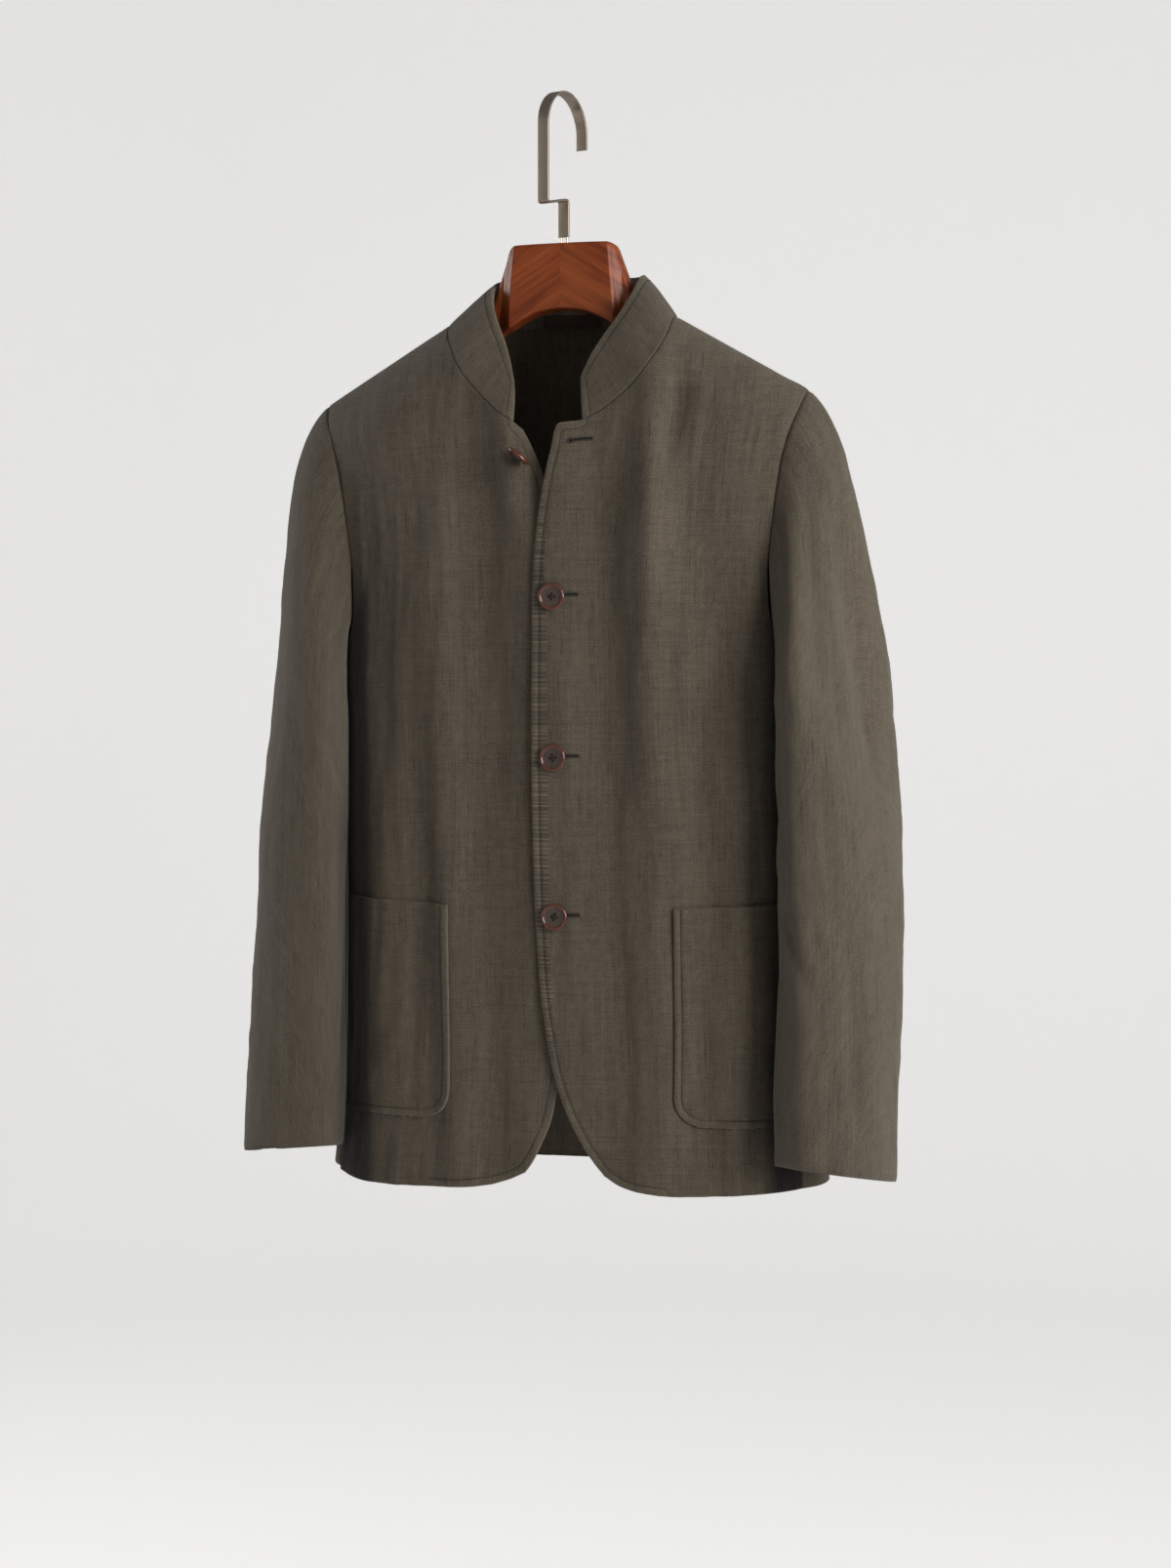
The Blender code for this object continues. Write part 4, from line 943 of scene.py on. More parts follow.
def quads(rows, columns, closed=False):
    """Corners of the quads of a grid held row by row, closed round its columns if asked."""
    row = np.arange(rows - 1)[:, None]
    step = np.arange(columns if closed else columns - 1)[None, :]
    after = (step + 1) % columns
    corners = np.stack(np.broadcast_arrays(row * columns + step, row * columns + after,
                                           (row + 1) * columns + after, (row + 1) * columns + step), -1)
    return corners.reshape(-1, 4)


def capped(rows, sides, flipped=False):
    """Faces of a closed tube of rings, with a cap at both ends, turned inside out if asked."""
    faces = quads(rows, sides, True).tolist()
    faces += [list(range(sides))[::-1], list(range((rows - 1) * sides, rows * sides))]
    return [face[::-1] for face in faces] if flipped else faces


def shell(name, points, normals, thickness, finish, uv, values):
    """Cloth with two faces and a closed border: the inner face lies a thickness behind the outer."""
    rows, columns = points.shape[:2]
    count = rows * columns
    inner = points - normals * thickness
    lean = np.cross(points[0, 1] - points[0, 0], points[1, 0] - points[0, 0])
    outer_faces = quads(rows, columns)
    index = np.arange(count).reshape(rows, columns)
    ring = np.concatenate([index[0, :-1], index[:-1, -1], index[-1, :0:-1], index[:0:-1, 0]])
    after = np.roll(ring, -1)
    rim = np.stack([ring, ring + count, after + count, after], -1)
    if np.dot(lean, normals[0, 0]) < 0:
        outer_faces = outer_faces[:, ::-1]
        rim = rim[:, ::-1]
    faces = np.concatenate([outer_faces, outer_faces[:, ::-1] + count, rim])
    both = np.concatenate([points.reshape(-1, 3), inner.reshape(-1, 3)])
    flat = uv.reshape(-1, 2)
    doubled = {key: np.tile(value.ravel(), 2) for key, value in values.items()}
    return mesh_object(name, both, faces.tolist(), finish, np.concatenate([flat, flat]), doubled)


def beads(name, centres, along, out, length, radius, finish):
    """Short rounded threads: rings round each thread's line, swelling from its ends to its middle."""
    along = unit(along)
    across = unit(np.cross(out, along))
    profile = np.array(THREAD_SWELL)
    line = centres[:, None] + along[:, None] * (profile[:, 0] * length)[:, None]
    ring = ring_ways(across, np.cross(along, across), STITCH_SIDES)
    points = line[:, :, None] + ring[:, None] * (profile[:, 1] * radius)[None, :, None, None]
    per = len(profile) * STITCH_SIDES
    starts = np.arange(len(centres))[:, None] * per
    sides = (quads(len(profile), STITCH_SIDES, True)[None] + starts[:, None]).reshape(-1, 4)
    first = starts + np.arange(STITCH_SIDES)[::-1]
    last = starts + per - STITCH_SIDES + np.arange(STITCH_SIDES)
    faces = sides.tolist() + first.tolist() + last.tolist()
    piece = mesh_object(name, points.reshape(-1, 3), faces, finish)
    return piece


def ring_ways(first, second, sides):
    """Directions of a ring's points for every place, from its two axes there."""
    angles = circle(sides)
    return (np.cos(angles)[None, :, None] * first[:, None]
            + np.sin(angles)[None, :, None] * second[:, None])


def tube(name, path, radius, sides, finish):
    """Round thread: a ring carried along a path, closed at both ends."""
    ahead = unit(np.gradient(path, axis=0))
    first = unit(np.cross(ahead, np.array(ODD_WAY)))
    points = path[:, None] + ring_ways(first, np.cross(ahead, first), sides) * radius
    piece = mesh_object(name, points.reshape(-1, 3), capped(len(path), sides), finish)
    return piece


def resample(line, pitch):
    """A line of straight runs read at an even pitch, in all its columns."""
    length = run_length(line)
    return read_line(np.arange(pitch / 2, length[-1], pitch), length, line)


def inset_line(line, amount):
    """A flat line moved to its left by an amount, without the loops that its corners would make."""
    ahead = unit(np.gradient(line, axis=0))
    moved = line + np.stack([-ahead[:, 1], ahead[:, 0]], -1) * amount
    far = np.linalg.norm(moved[:, None] - line[None], axis=-1).min(1)
    return moved[far > INSET_KEPT * abs(amount)]


def nearest_distance(points, line):
    """Distance of every point from a line given as close points, worked out in slices."""
    slices = np.array_split(points.reshape(-1, 3), 12)
    found = [np.linalg.norm(part[:, None] - line[None], axis=-1).min(1) for part in slices]
    return np.concatenate(found).reshape(points.shape[:-1])


# ---------------------------------------------------------------- shader tools
def place(tree, kind, inputs=(), **settings):
    """A shader node with its settings, its values set and its links made."""
    made = tree.nodes.new(kind)
    for key, value in settings.items():
        setattr(made, key, value)
    for key, value in dict(inputs).items():
        socket = made.inputs[key]
        if isinstance(value, bpy.types.NodeSocket):
            tree.links.new(value, socket)
        else:
            socket.default_value = value
    return made


def sums(tree, operation, first, second=0.0, third=0.0):
    """A Math node's result."""
    return place(tree, "ShaderNodeMath", {0: first, 1: second, 2: third}, operation=operation).outputs[0]


def mixed(tree, share, first, second):
    """A blend of two colours; its colour sockets are the Mix node's seventh and eighth."""
    return place(tree, "ShaderNodeMix", {0: share, 6: first, 7: second}, data_type="RGBA").outputs[2]


def attribute(tree, name):
    """A value that a piece keeps for each of its points."""
    return place(tree, "ShaderNodeAttribute", attribute_name=name).outputs["Fac"]


def object_place(tree):
    """Place in the piece's own coordinates, in metres."""
    return place(tree, "ShaderNodeTexCoord").outputs["Object"]


def bumped(tree, shader, strength, distance, height):
    """Bump from a height, on the shader's normal."""
    made = place(tree, "ShaderNodeBump", {"Strength": strength, "Distance": distance, "Height": height})
    tree.links.new(made.outputs[0], shader.inputs["Normal"])


def stretched_noise(tree, vector, scale, detail, roughness, offset=(0, 0, 0)):
    """Noise whose grain is stretched by a scale for each axis, from 0 to 1 and even in the mean."""
    mapped = place(tree, "ShaderNodeMapping", {"Vector": vector, "Scale": scale, "Location": offset})
    made = place(tree, "ShaderNodeTexNoise", {"Vector": mapped.outputs[0], "Scale": 1.0, "Detail": detail,
                                              "Roughness": roughness})
    return made.outputs[0]


def spread(tree, value, low, high, to_low=0.0, to_high=1.0):
    """A value carried from one range to another and held inside it."""
    return place(tree, "ShaderNodeMapRange", {0: value, 1: low, 2: high, 3: to_low, 4: to_high}).outputs[0]


def new_group(name, inputs, outputs):
    """An empty shader node group with its named sockets; gives its tree and its two end nodes."""
    tree = bpy.data.node_groups.new(name, "ShaderNodeTree")
    for key, kind, value in inputs:
        socket = tree.interface.new_socket(name=key, in_out="INPUT", socket_type=kind)
        if value is not None:
            socket.default_value = value
    for key, kind in outputs:
        tree.interface.new_socket(name=key, in_out="OUTPUT", socket_type=kind)
    return tree, tree.nodes.new("NodeGroupInput"), tree.nodes.new("NodeGroupOutput")


# noise of the yarns: scale across, along, unused; detail, roughness, offset, share of the tone
YARN_LAYERS = [
    ((480, 18, 1), 3, 0.6, (0, 0, 0), 0.46),
    ((95, 6, 1), 3, 0.55, (1.3, 4.0, 0), 0.26),
    ((14, 620, 1), 3, 0.55, (3.1, 0.7, 0), 0.34),
    ((170, 120, 1), 3, 0.6, (5.3, 2.0, 0), 0.40),
    ((20, 13, 1), 3, 0.55, (7.7, 0.2, 0), 0.24),
    ((1150, 900, 1), 2, 0.8, (0.4, 9.0, 0), 1.6),
]
# pitch of the weave in metres, then the painted shades laid over the yarns' own colours and the painted
# highlight of stitched edges
TWILL_PITCH = 0.0014
TWILL_SHADE = (0.020, 0.0155, 0.0105, 1)
# painted shade in the seams and along the lines of stitches
SEAM_SHADE = (0.012, 0.010, 0.008, 1)
# painted shade: near black in the gap between the body and the sleeves
NOOK_SHADE = (0.004, 0.0035, 0.003, 1)
NOOK_STRENGTH = 0.96
# painted highlight: pale colour along the stitched edges, for the light that the rolled edge catches
EDGE_HIGHLIGHT = (0.30, 0.25, 0.185, 1)


def linen_group():
    """Heathered linen: streaks of thick and thin yarn along and across, sparse slubs and a fine weave.

    The place is in metres on the flat cloth, u across and v along it.  The weave is two crossing
    waves whose lines wander with a slow noise, and it darkens the cloth where it dips.
    """
    tree, start, end = new_group(
        "linen yarns",
        [("Place", "NodeSocketVector", None), ("Dark", "NodeSocketColor", (0.05, 0.04, 0.03, 1)),
         ("Pale", "NodeSocketColor", (0.1, 0.085, 0.066, 1)), ("Streaks", "NodeSocketFloat", 1.0)],
        [("Color", "NodeSocketColor"), ("Height", "NodeSocketFloat"), ("Roughness", "NodeSocketFloat")])
    spot = start.outputs["Place"]
    total = 0.0
    for scale, detail, roughness, offset, share in YARN_LAYERS:
        noise = stretched_noise(tree, spot, scale, detail, roughness, offset)
        total = sums(tree, "MULTIPLY_ADD", sums(tree, "SUBTRACT", noise, 0.5), share, total)
    total = sums(tree, "MULTIPLY", total, start.outputs["Streaks"])
    slub_down = spread(tree, stretched_noise(tree, spot, (460, 30, 1), 1, 0.4, (8.1, 3.3, 0)), 0.64, 0.78)
    slub_over = spread(tree, stretched_noise(tree, spot, (26, 620, 1), 1, 0.4, (2.1, 6.3, 0)), 0.66, 0.80)
    slubs = sums(tree, "MULTIPLY_ADD", slub_down, -0.20, sums(tree, "MULTIPLY", slub_over, -0.13))
    level = sums(tree, "ADD", sums(tree, "ADD", total, 0.5), slubs)
    colour = mixed(tree, spread(tree, level, 0.0, 1.0), start.outputs["Dark"], start.outputs["Pale"])
    parted = place(tree, "ShaderNodeSeparateXYZ", {0: spot})
    wander = stretched_noise(tree, spot, (260, 260, 1), 2, 0.6, (4.4, 1.1, 0))
    pitch = 2 * np.pi / TWILL_PITCH
    over = sums(tree, "MULTIPLY_ADD", parted.outputs[0], pitch, sums(tree, "MULTIPLY", wander, 5.0))
    down = sums(tree, "MULTIPLY_ADD", parted.outputs[1], pitch, sums(tree, "MULTIPLY", wander, 4.0))
    twill = sums(tree, "MULTIPLY", sums(tree, "SINE", sums(tree, "ADD", over, down)),
                 sums(tree, "SINE", sums(tree, "SUBTRACT", over, sums(tree, "MULTIPLY", down, 0.6))))
    height = sums(tree, "MULTIPLY_ADD", twill, 0.3, sums(tree, "MULTIPLY", level, 0.9))
    weave_dark = spread(tree, twill, -0.7, 0.7, 0.78, 0.0)
    tree.links.new(mixed(tree, weave_dark, colour, TWILL_SHADE), end.inputs["Color"])
    tree.links.new(height, end.inputs["Height"])
    tree.links.new(spread(tree, level, 0.2, 0.8, 0.86, 0.62), end.inputs["Roughness"])
    return tree


def base_material(name):
    """A new material; gives it with its node tree and its Principled shader."""
    made = bpy.data.materials.new(name)
    made.use_nodes = True
    return made, made.node_tree, made.node_tree.nodes["Principled BSDF"]


def linen(name, group, dark, pale, streaks, bump):
    """Linen cloth with painted shade in its seams and along its stitching, where it also dips, and a
    painted highlight along its stitched edges.

    Each piece's points keep their distance from a seam, their distance from the line of
    stitches (less than zero between it and the edge) and how deep they lie in the gap beside
    the sleeves, where shade is painted near black.
    """
    made, tree, shader = base_material(name)
    yarns = place(tree, "ShaderNodeGroup", node_tree=group)
    tree.links.new(place(tree, "ShaderNodeUVMap", uv_map="cloth").outputs[0], yarns.inputs["Place"])
    yarns.inputs["Dark"].default_value = (*dark, 1)
    yarns.inputs["Pale"].default_value = (*pale, 1)
    yarns.inputs["Streaks"].default_value = streaks
    stitch = attribute(tree, "stitch")
    off_line = sums(tree, "ABSOLUTE", stitch)
    # painted shade: the colour darkens in the seams and along the line of stitches
    in_seam = spread(tree, attribute(tree, "seam"), 0.0, 0.7, 0.5, 0.0)
    in_stitch = spread(tree, off_line, 0.1, 1.1, 0.3, 0.0)
    shaded = sums(tree, "MAXIMUM", in_seam, in_stitch)
    colour = mixed(tree, shaded, yarns.outputs["Color"], SEAM_SHADE)
    # painted highlight: paler between the stitch line and the edge, and in a thin rim at the edge
    beyond = spread(tree, stitch, -0.9, -0.3, 0.05, 0.0)
    rim = spread(tree, stitch, -5.9, -5.2, 0.16, 0.0)
    colour = mixed(tree, sums(tree, "ADD", beyond, rim), colour, EDGE_HIGHLIGHT)
    # painted shade: the cloth turns near black in the gap between the body and the sleeves
    gap_shade = sums(tree, "MULTIPLY", attribute(tree, "gap_shade"), NOOK_STRENGTH)
    tree.links.new(mixed(tree, gap_shade, colour, NOOK_SHADE), shader.inputs["Base Color"])
    tree.links.new(yarns.outputs["Roughness"], shader.inputs["Roughness"])
    pressed = spread(tree, off_line, 0.0, 2.6, -1.5, 0.0)
    bumped(tree, shader, bump, 0.0006, sums(tree, "ADD", yarns.outputs["Height"], pressed))
    shader.inputs["Sheen Weight"].default_value = 0.25
    shader.inputs["Sheen Roughness"].default_value = 0.45
    shader.inputs["Sheen Tint"].default_value = (1.0, 0.94, 0.84, 1)
    shader.inputs["Specular IOR Level"].default_value = 0.4
    return made


def plain(name, colour, roughness):
    """A material of one colour with faint unevenness, for threads and for near-black painted shade."""
    made, tree, shader = base_material(name)
    grain = stretched_noise(tree, object_place(tree), (900, 900, 900), 2, 0.5)
    shade = tuple(value * 0.7 for value in colour)
    tree.links.new(mixed(tree, grain, (*shade, 1), (*colour, 1)), shader.inputs["Base Color"])
    shader.inputs["Roughness"].default_value = roughness
    return made


def horn_material():
    """Horn button: glossy reddish rim, greyer satin dish, faint cloudy streaks in both."""
    made, tree, shader = base_material("horn_button")
    cloud = stretched_noise(tree, object_place(tree), (160, 160, 420), 4, 0.6)
    dish = attribute(tree, "dish")
    rim = mixed(tree, cloud, (0.035, 0.009, 0.004, 1), (0.20, 0.055, 0.024, 1))
    centre = mixed(tree, cloud, (0.028, 0.018, 0.014, 1), (0.115, 0.077, 0.062, 1))
    tree.links.new(mixed(tree, dish, rim, centre), shader.inputs["Base Color"])
    tree.links.new(spread(tree, dish, 0, 1, 0.14, 0.34), shader.inputs["Roughness"])
    tree.links.new(spread(tree, dish, 0, 1, 1.0, 0.35), shader.inputs["Coat Weight"])
    shader.inputs["Coat Roughness"].default_value = 0.08
    return made


# fall of the hanger's arms, which its grain follows
GRAIN_SLOPE = 0.62


def wood_material():
    """Polished hanger wood: grain that runs down and outwards from the middle, under lacquer."""
    made, tree, shader = base_material("hanger_wood")
    parted = place(tree, "ShaderNodeSeparateXYZ", {0: object_place(tree)})
    outwards = sums(tree, "ABSOLUTE", parted.outputs[0])
    across = sums(tree, "MULTIPLY_ADD", outwards, GRAIN_SLOPE, parted.outputs[2])
    along = sums(tree, "MULTIPLY_ADD", parted.outputs[2], -GRAIN_SLOPE, outwards)
    side = sums(tree, "SIGN", parted.outputs[0])
    deep = sums(tree, "MULTIPLY_ADD", side, 0.7, sums(tree, "MULTIPLY", parted.outputs[1], 3.0))
    grain_place = place(tree, "ShaderNodeCombineXYZ", {0: across, 1: along, 2: deep}).outputs[0]
    rings = stretched_noise(tree, grain_place, (150, 9, 1), 5, 0.62)
    pores = stretched_noise(tree, grain_place, (1500, 45, 8), 2, 0.6)
    glow = stretched_noise(tree, grain_place, (26, 14, 1), 2, 0.5, (3, 1, 0))
    tones = place(tree, "ShaderNodeValToRGB", {0: rings})
    ramp = tones.color_ramp
    ramp.elements[0].position = 0.3
    ramp.elements[0].color = (0.13, 0.022, 0.007, 1)
    ramp.elements[1].position = 0.72
    ramp.elements[1].color = (0.38, 0.088, 0.022, 1)
    middle = ramp.elements.new(0.5)
    middle.color = (0.25, 0.048, 0.013, 1)
    warmth = spread(tree, glow, 0.35, 0.75, 0.0, 0.55)
    warm = mixed(tree, warmth, tones.outputs[0], (0.36, 0.095, 0.024, 1))
    colour = mixed(tree, spread(tree, pores, 0.55, 0.75, 0.0, 0.45), warm, (0.05, 0.014, 0.007, 1))
    tree.links.new(colour, shader.inputs["Base Color"])
    tree.links.new(spread(tree, rings, 0.3, 0.7, 0.42, 0.32), shader.inputs["Roughness"])
    bumped(tree, shader, 0.12, 0.0003, pores)
    shader.inputs["Specular IOR Level"].default_value = 0.25
    shader.inputs["Coat Weight"].default_value = 0.16
    shader.inputs["Coat Roughness"].default_value = 0.3
    return made


def metal_material():
    """Brushed nickel with a warm tint: fine scratches across the strip."""
    made, tree, shader = base_material("hook_nickel")
    spot = object_place(tree)
    scratches = stretched_noise(tree, spot, (60, 60, 2600), 3, 0.6)
    cloud = stretched_noise(tree, spot, (60, 60, 60), 2, 0.5)
    shader.inputs["Metallic"].default_value = 1.0
    colour = mixed(tree, scratches, (0.40, 0.335, 0.27, 1), (0.60, 0.51, 0.42, 1))
    tree.links.new(colour, shader.inputs["Base Color"])
    tree.links.new(spread(tree, cloud, 0.3, 0.7, 0.3, 0.42), shader.inputs["Roughness"])
    bumped(tree, shader, 0.15, 0.0002, scratches)
    return made


YARNS = linen_group()
LINEN = linen("jacket_linen", YARNS, (0.026, 0.0206, 0.0142), (0.295, 0.240, 0.168), 1.0, 0.75)
LABEL_CLOTH = linen("label_cloth", YARNS, (0.030, 0.010, 0.006), (0.085, 0.034, 0.020), 0.6, 0.2)
THREAD = plain("sewing_thread", (0.085, 0.070, 0.054), 0.8)
HOLE_THREAD = plain("buttonhole_thread", (0.060, 0.050, 0.038), 0.75)
# painted shade: near black for the buttonholes' slits and the needle holes
SHADE_BLACK = plain("painted_shade_black", (0.006, 0.005, 0.004), 0.95)
BUTTON_THREAD = plain("button_thread", (0.030, 0.022, 0.016), 0.8)
HORN = horn_material()
WOOD = wood_material()
NICKEL = metal_material()


# ---------------------------------------------------------------- fronts and backs
# points and directions of the fronts and backs, and every row of stitches, as they are made
FINE = {}
STITCHES = []


def on_front(line, side):
    """Points and directions of the rumpled front under a flat line of (x, z) points."""
    return cloth_points(front_turn(line[:, 0], line[:, 1], side), line[:, 1], side)


def stitch_row(line, out):
    """Keeps a row of stitches: even places along a line of points, each with its direction."""
    both = resample(np.concatenate([line, out], 1), STITCH_PITCH)
    centres = both[:, :3]
    STITCHES.append((centres, unit(np.gradient(centres, axis=0)), unit(both[:, 3:])))


def build_topstitch():
    """Every kept row of stitches: threads, and between them near-black beads, painted shade of the holes
    that they go down into.
    """
    for index, (centres, ahead, out) in enumerate(STITCHES):
        beads(f"topstitch_{index + 1}", centres, ahead, out, STITCH_LENGTH, STITCH_RADIUS, THREAD)
        # painted shade: dark beads where the thread goes down into the cloth
        between = centres + ahead * STITCH_PITCH / 2 + out * NEEDLE_HOLE_LIFT
        beads(f"needle_holes_{index + 1}", between, ahead, out, NEEDLE_HOLE_LENGTH,
              NEEDLE_HOLE_RADIUS, SHADE_BLACK)


def panel(kind, side):
    """Fine points, directions and (turn, height) places of one front or back."""
    if kind == "front":
        coarse = front_grid(side)
        breaks = (0, EDGE_STEPS, EDGE_STEPS + NECK_STEPS)
    else:
        coarse = back_grid()
        breaks = (0, SHOULDER_STEPS)
    places = finer(coarse, (*breaks, coarse.shape[1] - 1))
    points, out = cloth_points(places[..., 0], places[..., 1], side)
    return points, surface_normals(points, out), places


def front_stitching(points, side):
    """Topstitch of a front: along its top edge, down its front edge, round the curve, on the hem.

    Gives the edge that it follows.
    """
    edge_columns = EDGE_STEPS * CELL_COLUMNS + len(NEAR_BORDER) - 2
    hem = points[0, np.abs(points[0, :, 0]) < HEM_STITCHED[side]]
    border = np.concatenate([points[-1, edge_columns::-1], points[-2::-1, 0], hem[1:]])
    flat = inset_line(resample(border[:, (0, 2)], 0.8), STITCH_INSET * side)
    stitch_row(*on_front(flat, side))
    return border


def body_gap_shade(points, side):
    """How much painted shade a place of the body takes in the gap beside the hanging sleeve."""
    first, last = NOOK_ACROSS[side]
    return (ease((np.abs(points[..., 0]) - first) / (last - first))
            * ease((NOOK_TOP_Z - points[..., 2]) / NOOK_FADE))


def sleeve_gap_shade(angles, z, side):
    """How much painted shade a place of the right sleeve takes in that gap; the left sleeve turns away by
    itself.
    """
    if side == 1:
        return 0 * z
    from_inner = np.abs((angles + 180) % 360 - 180)
    across = ease((NOOK_SLEEVE_DEGREES - from_inner) / NOOK_SLEEVE_FADE)
    return across * ease((NOOK_SLEEVE_TOP_Z - z) / NOOK_FADE)


def build_panels():
    """The fronts and backs as rumpled cloth, with their edges rolled and stitched."""
    edge_columns = EDGE_STEPS * CELL_COLUMNS + len(NEAR_BORDER)
    for side, word in SIDES:
        for kind in ("front", "back"):
            points, normals, places = panel(kind, side)
            FINE[kind + "_" + word] = (points, normals)
            distances = border_distance(points)
            bottom, top, left, right = distances
            uv = np.stack([around_length(places[..., 0]) * side, places[..., 1]], -1)
            if kind == "front":
                sewn = np.minimum(top, right)
                sewn[:, :edge_columns] = right[:, :edge_columns]
                border = resample(front_stitching(points, side), 1.0)
                values = {"seam": sewn, "stitch": nearest_distance(points, border) - STITCH_INSET,
                          "gap_shade": body_gap_shade(points, side)}
            else:
                sewn = np.minimum.reduce([top, left, right])
                values = {"seam": sewn, "stitch": bottom + NO_STITCH - STITCH_INSET}
            cut_piece(f"{kind}_{word}", points, normals, distances, uv, values)


def cut_piece(name, points, normals, distances, uv, values,
              thickness=PANEL_THICK):
    """One cut piece of the jacket: its borders rolled, made a shell, and the solid it stands for hidden.
    """
    rolled = roll_borders(points, normals, distances)
    piece = shell(name + "_cloth", rolled, normals, thickness, LINEN, uv, values)
    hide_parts(name)


# ---------------------------------------------------------------- sleeves
def sleeve_ring(z, angles, side):
    """Section of the hanging sleeve: an ellipse whose long axis is turned back and outwards."""
    z = z + 0 * angles
    middle_x, middle_y, turn, long, short, shift = columns(
        SLEEVE, SLEEVE_COLUMNS, z, "x", "y", "turn", "long", "short", "shift")
    turned = np.radians(turn)
    around = np.radians(angles + 180 - SLEEVE_TWIST) - turned
    along = long * np.cos(around)
    aside = short * np.sin(around)
    outward = np.stack([along * np.cos(turned) - aside * np.sin(turned),
                        along * np.sin(turned) + aside * np.cos(turned)], -1)
    outward = outward + unit(outward) * fold_height(angles, z, SLEEVE_FOLDS, side)[..., None]
    return np.stack([side * (middle_x + outward[..., 0]) + shift, middle_y + outward[..., 1], z], -1)


def clear_of_body(points, side):
    """Sleeve points pushed outwards, softly, where they would come nearer the body than its room."""
    y, z = points[..., 1], points[..., 2]
    half, middle, front, back, shift = columns(
        BODY, BODY_COLUMNS, z, "half", "side", "front", "back", "shift")
    room = column(ROOM, ROOM_COLUMNS, "room", z)
    depth = np.where(y < middle, middle - front, back - middle)
    part = np.clip(np.abs(y - middle) / depth, 0, 1)
    limit = half * (1 - part ** SECTION_POWER) ** (1 / SECTION_POWER) + room
    reach = side * (points[..., 0] - shift)
    soft = CLEAR_SOFT * np.log1p(np.exp(np.clip((limit - reach) / CLEAR_SOFT, -30, 30)))
    near = ease((half + CLEAR_WIDTH - reach) / CLEAR_WIDTH)
    moved = points.copy()
    moved[..., 0] = points[..., 0] + side * soft * near
    return moved


def kept_clear(points, side):
    """Sleeve points made clear of the body, setting in softly below the level given for it."""
    below = ease((CLEAR_FROM_Z - points[..., 2]) / CLEAR_FADE)[..., None]
    return points + (clear_of_body(points, side) - points) * below


def cap_foot(angles):
    """Level where the sleeve head ends: lowest under the arm."""
    return CAP_FOOT_Z - CAP_FOOT_DROP * (1 + np.cos(np.radians(angles))) / 2


def cap_rows(seam, angles, side):
    """Sleeve head: cubic curves that leave the armhole outwards and bend down into the sleeve."""
    foot = sleeve_ring(cap_foot(angles), angles, side)
    outside = (1 - np.cos(np.radians(angles))) / 2
    leave = np.stack([side * (CAP_OUTWARDS + (1 - CAP_OUTWARDS) * outside),
                      (foot - seam)[..., 1] / CAP_DEPTH,
                      CAP_LESS_DOWN * outside - CAP_DOWNWARDS], -1)
    reach = np.linalg.norm(foot - seam, axis=-1, keepdims=True)
    leave = unit(leave) * reach * (CAP_LEAVE + CAP_LEAVE_OUT * outside ** 3)[:, None]
    lower = sleeve_ring(cap_foot(angles) - CAP_ARRIVE_STEP, angles, side)
    arrive = unit(lower - foot) * reach * CAP_ARRIVE
    rows = [seam]
    for part in even(CAP_FINE)[1:]:
        row = ((2 * part ** 3 - 3 * part ** 2 + 1) * seam + (part ** 3 - 2 * part ** 2 + part) * leave
               + (3 * part ** 2 - 2 * part ** 3) * foot + (part ** 3 - part ** 2) * arrive)
        rows.append(kept_clear(row, side))
    return rows


def cuff_height(angles):
    """Height of the cuff's edge: the back hangs lower, with a small vent at the back seam."""
    vent = (np.mod(angles - BACK_SEAM_STEP * 360 / SLEEVE_STEPS + 180, 360) - 180) / VENT_SPREAD
    drop = CUFF_DROP * np.cos(np.radians(angles - CUFF_LOW_ANGLE))
    return CUFF_Z - drop + VENT_RISE * np.exp(-vent ** 2)


def armhole(word, angles):
    """Points and directions of the armhole seam: 0 underarm, 90 front, 180 shoulder, 270 back."""
    low = sum(len(parts) for parts in row_parts()[:UNDERARM_ROW])
    front, front_out = FINE["front_" + word]
    back, back_out = FINE["back_" + word]
    from_front = along_line(front[low:, -1], front_out[low:, -1], angles / 180)
    from_back = along_line(back[low:, 0], back_out[low:, 0], (360 - angles) / 180)
    is_front = (angles <= 180)[:, None]
    return (np.where(is_front, from_front[0], from_back[0]),
            np.where(is_front, from_front[1], from_back[1]))


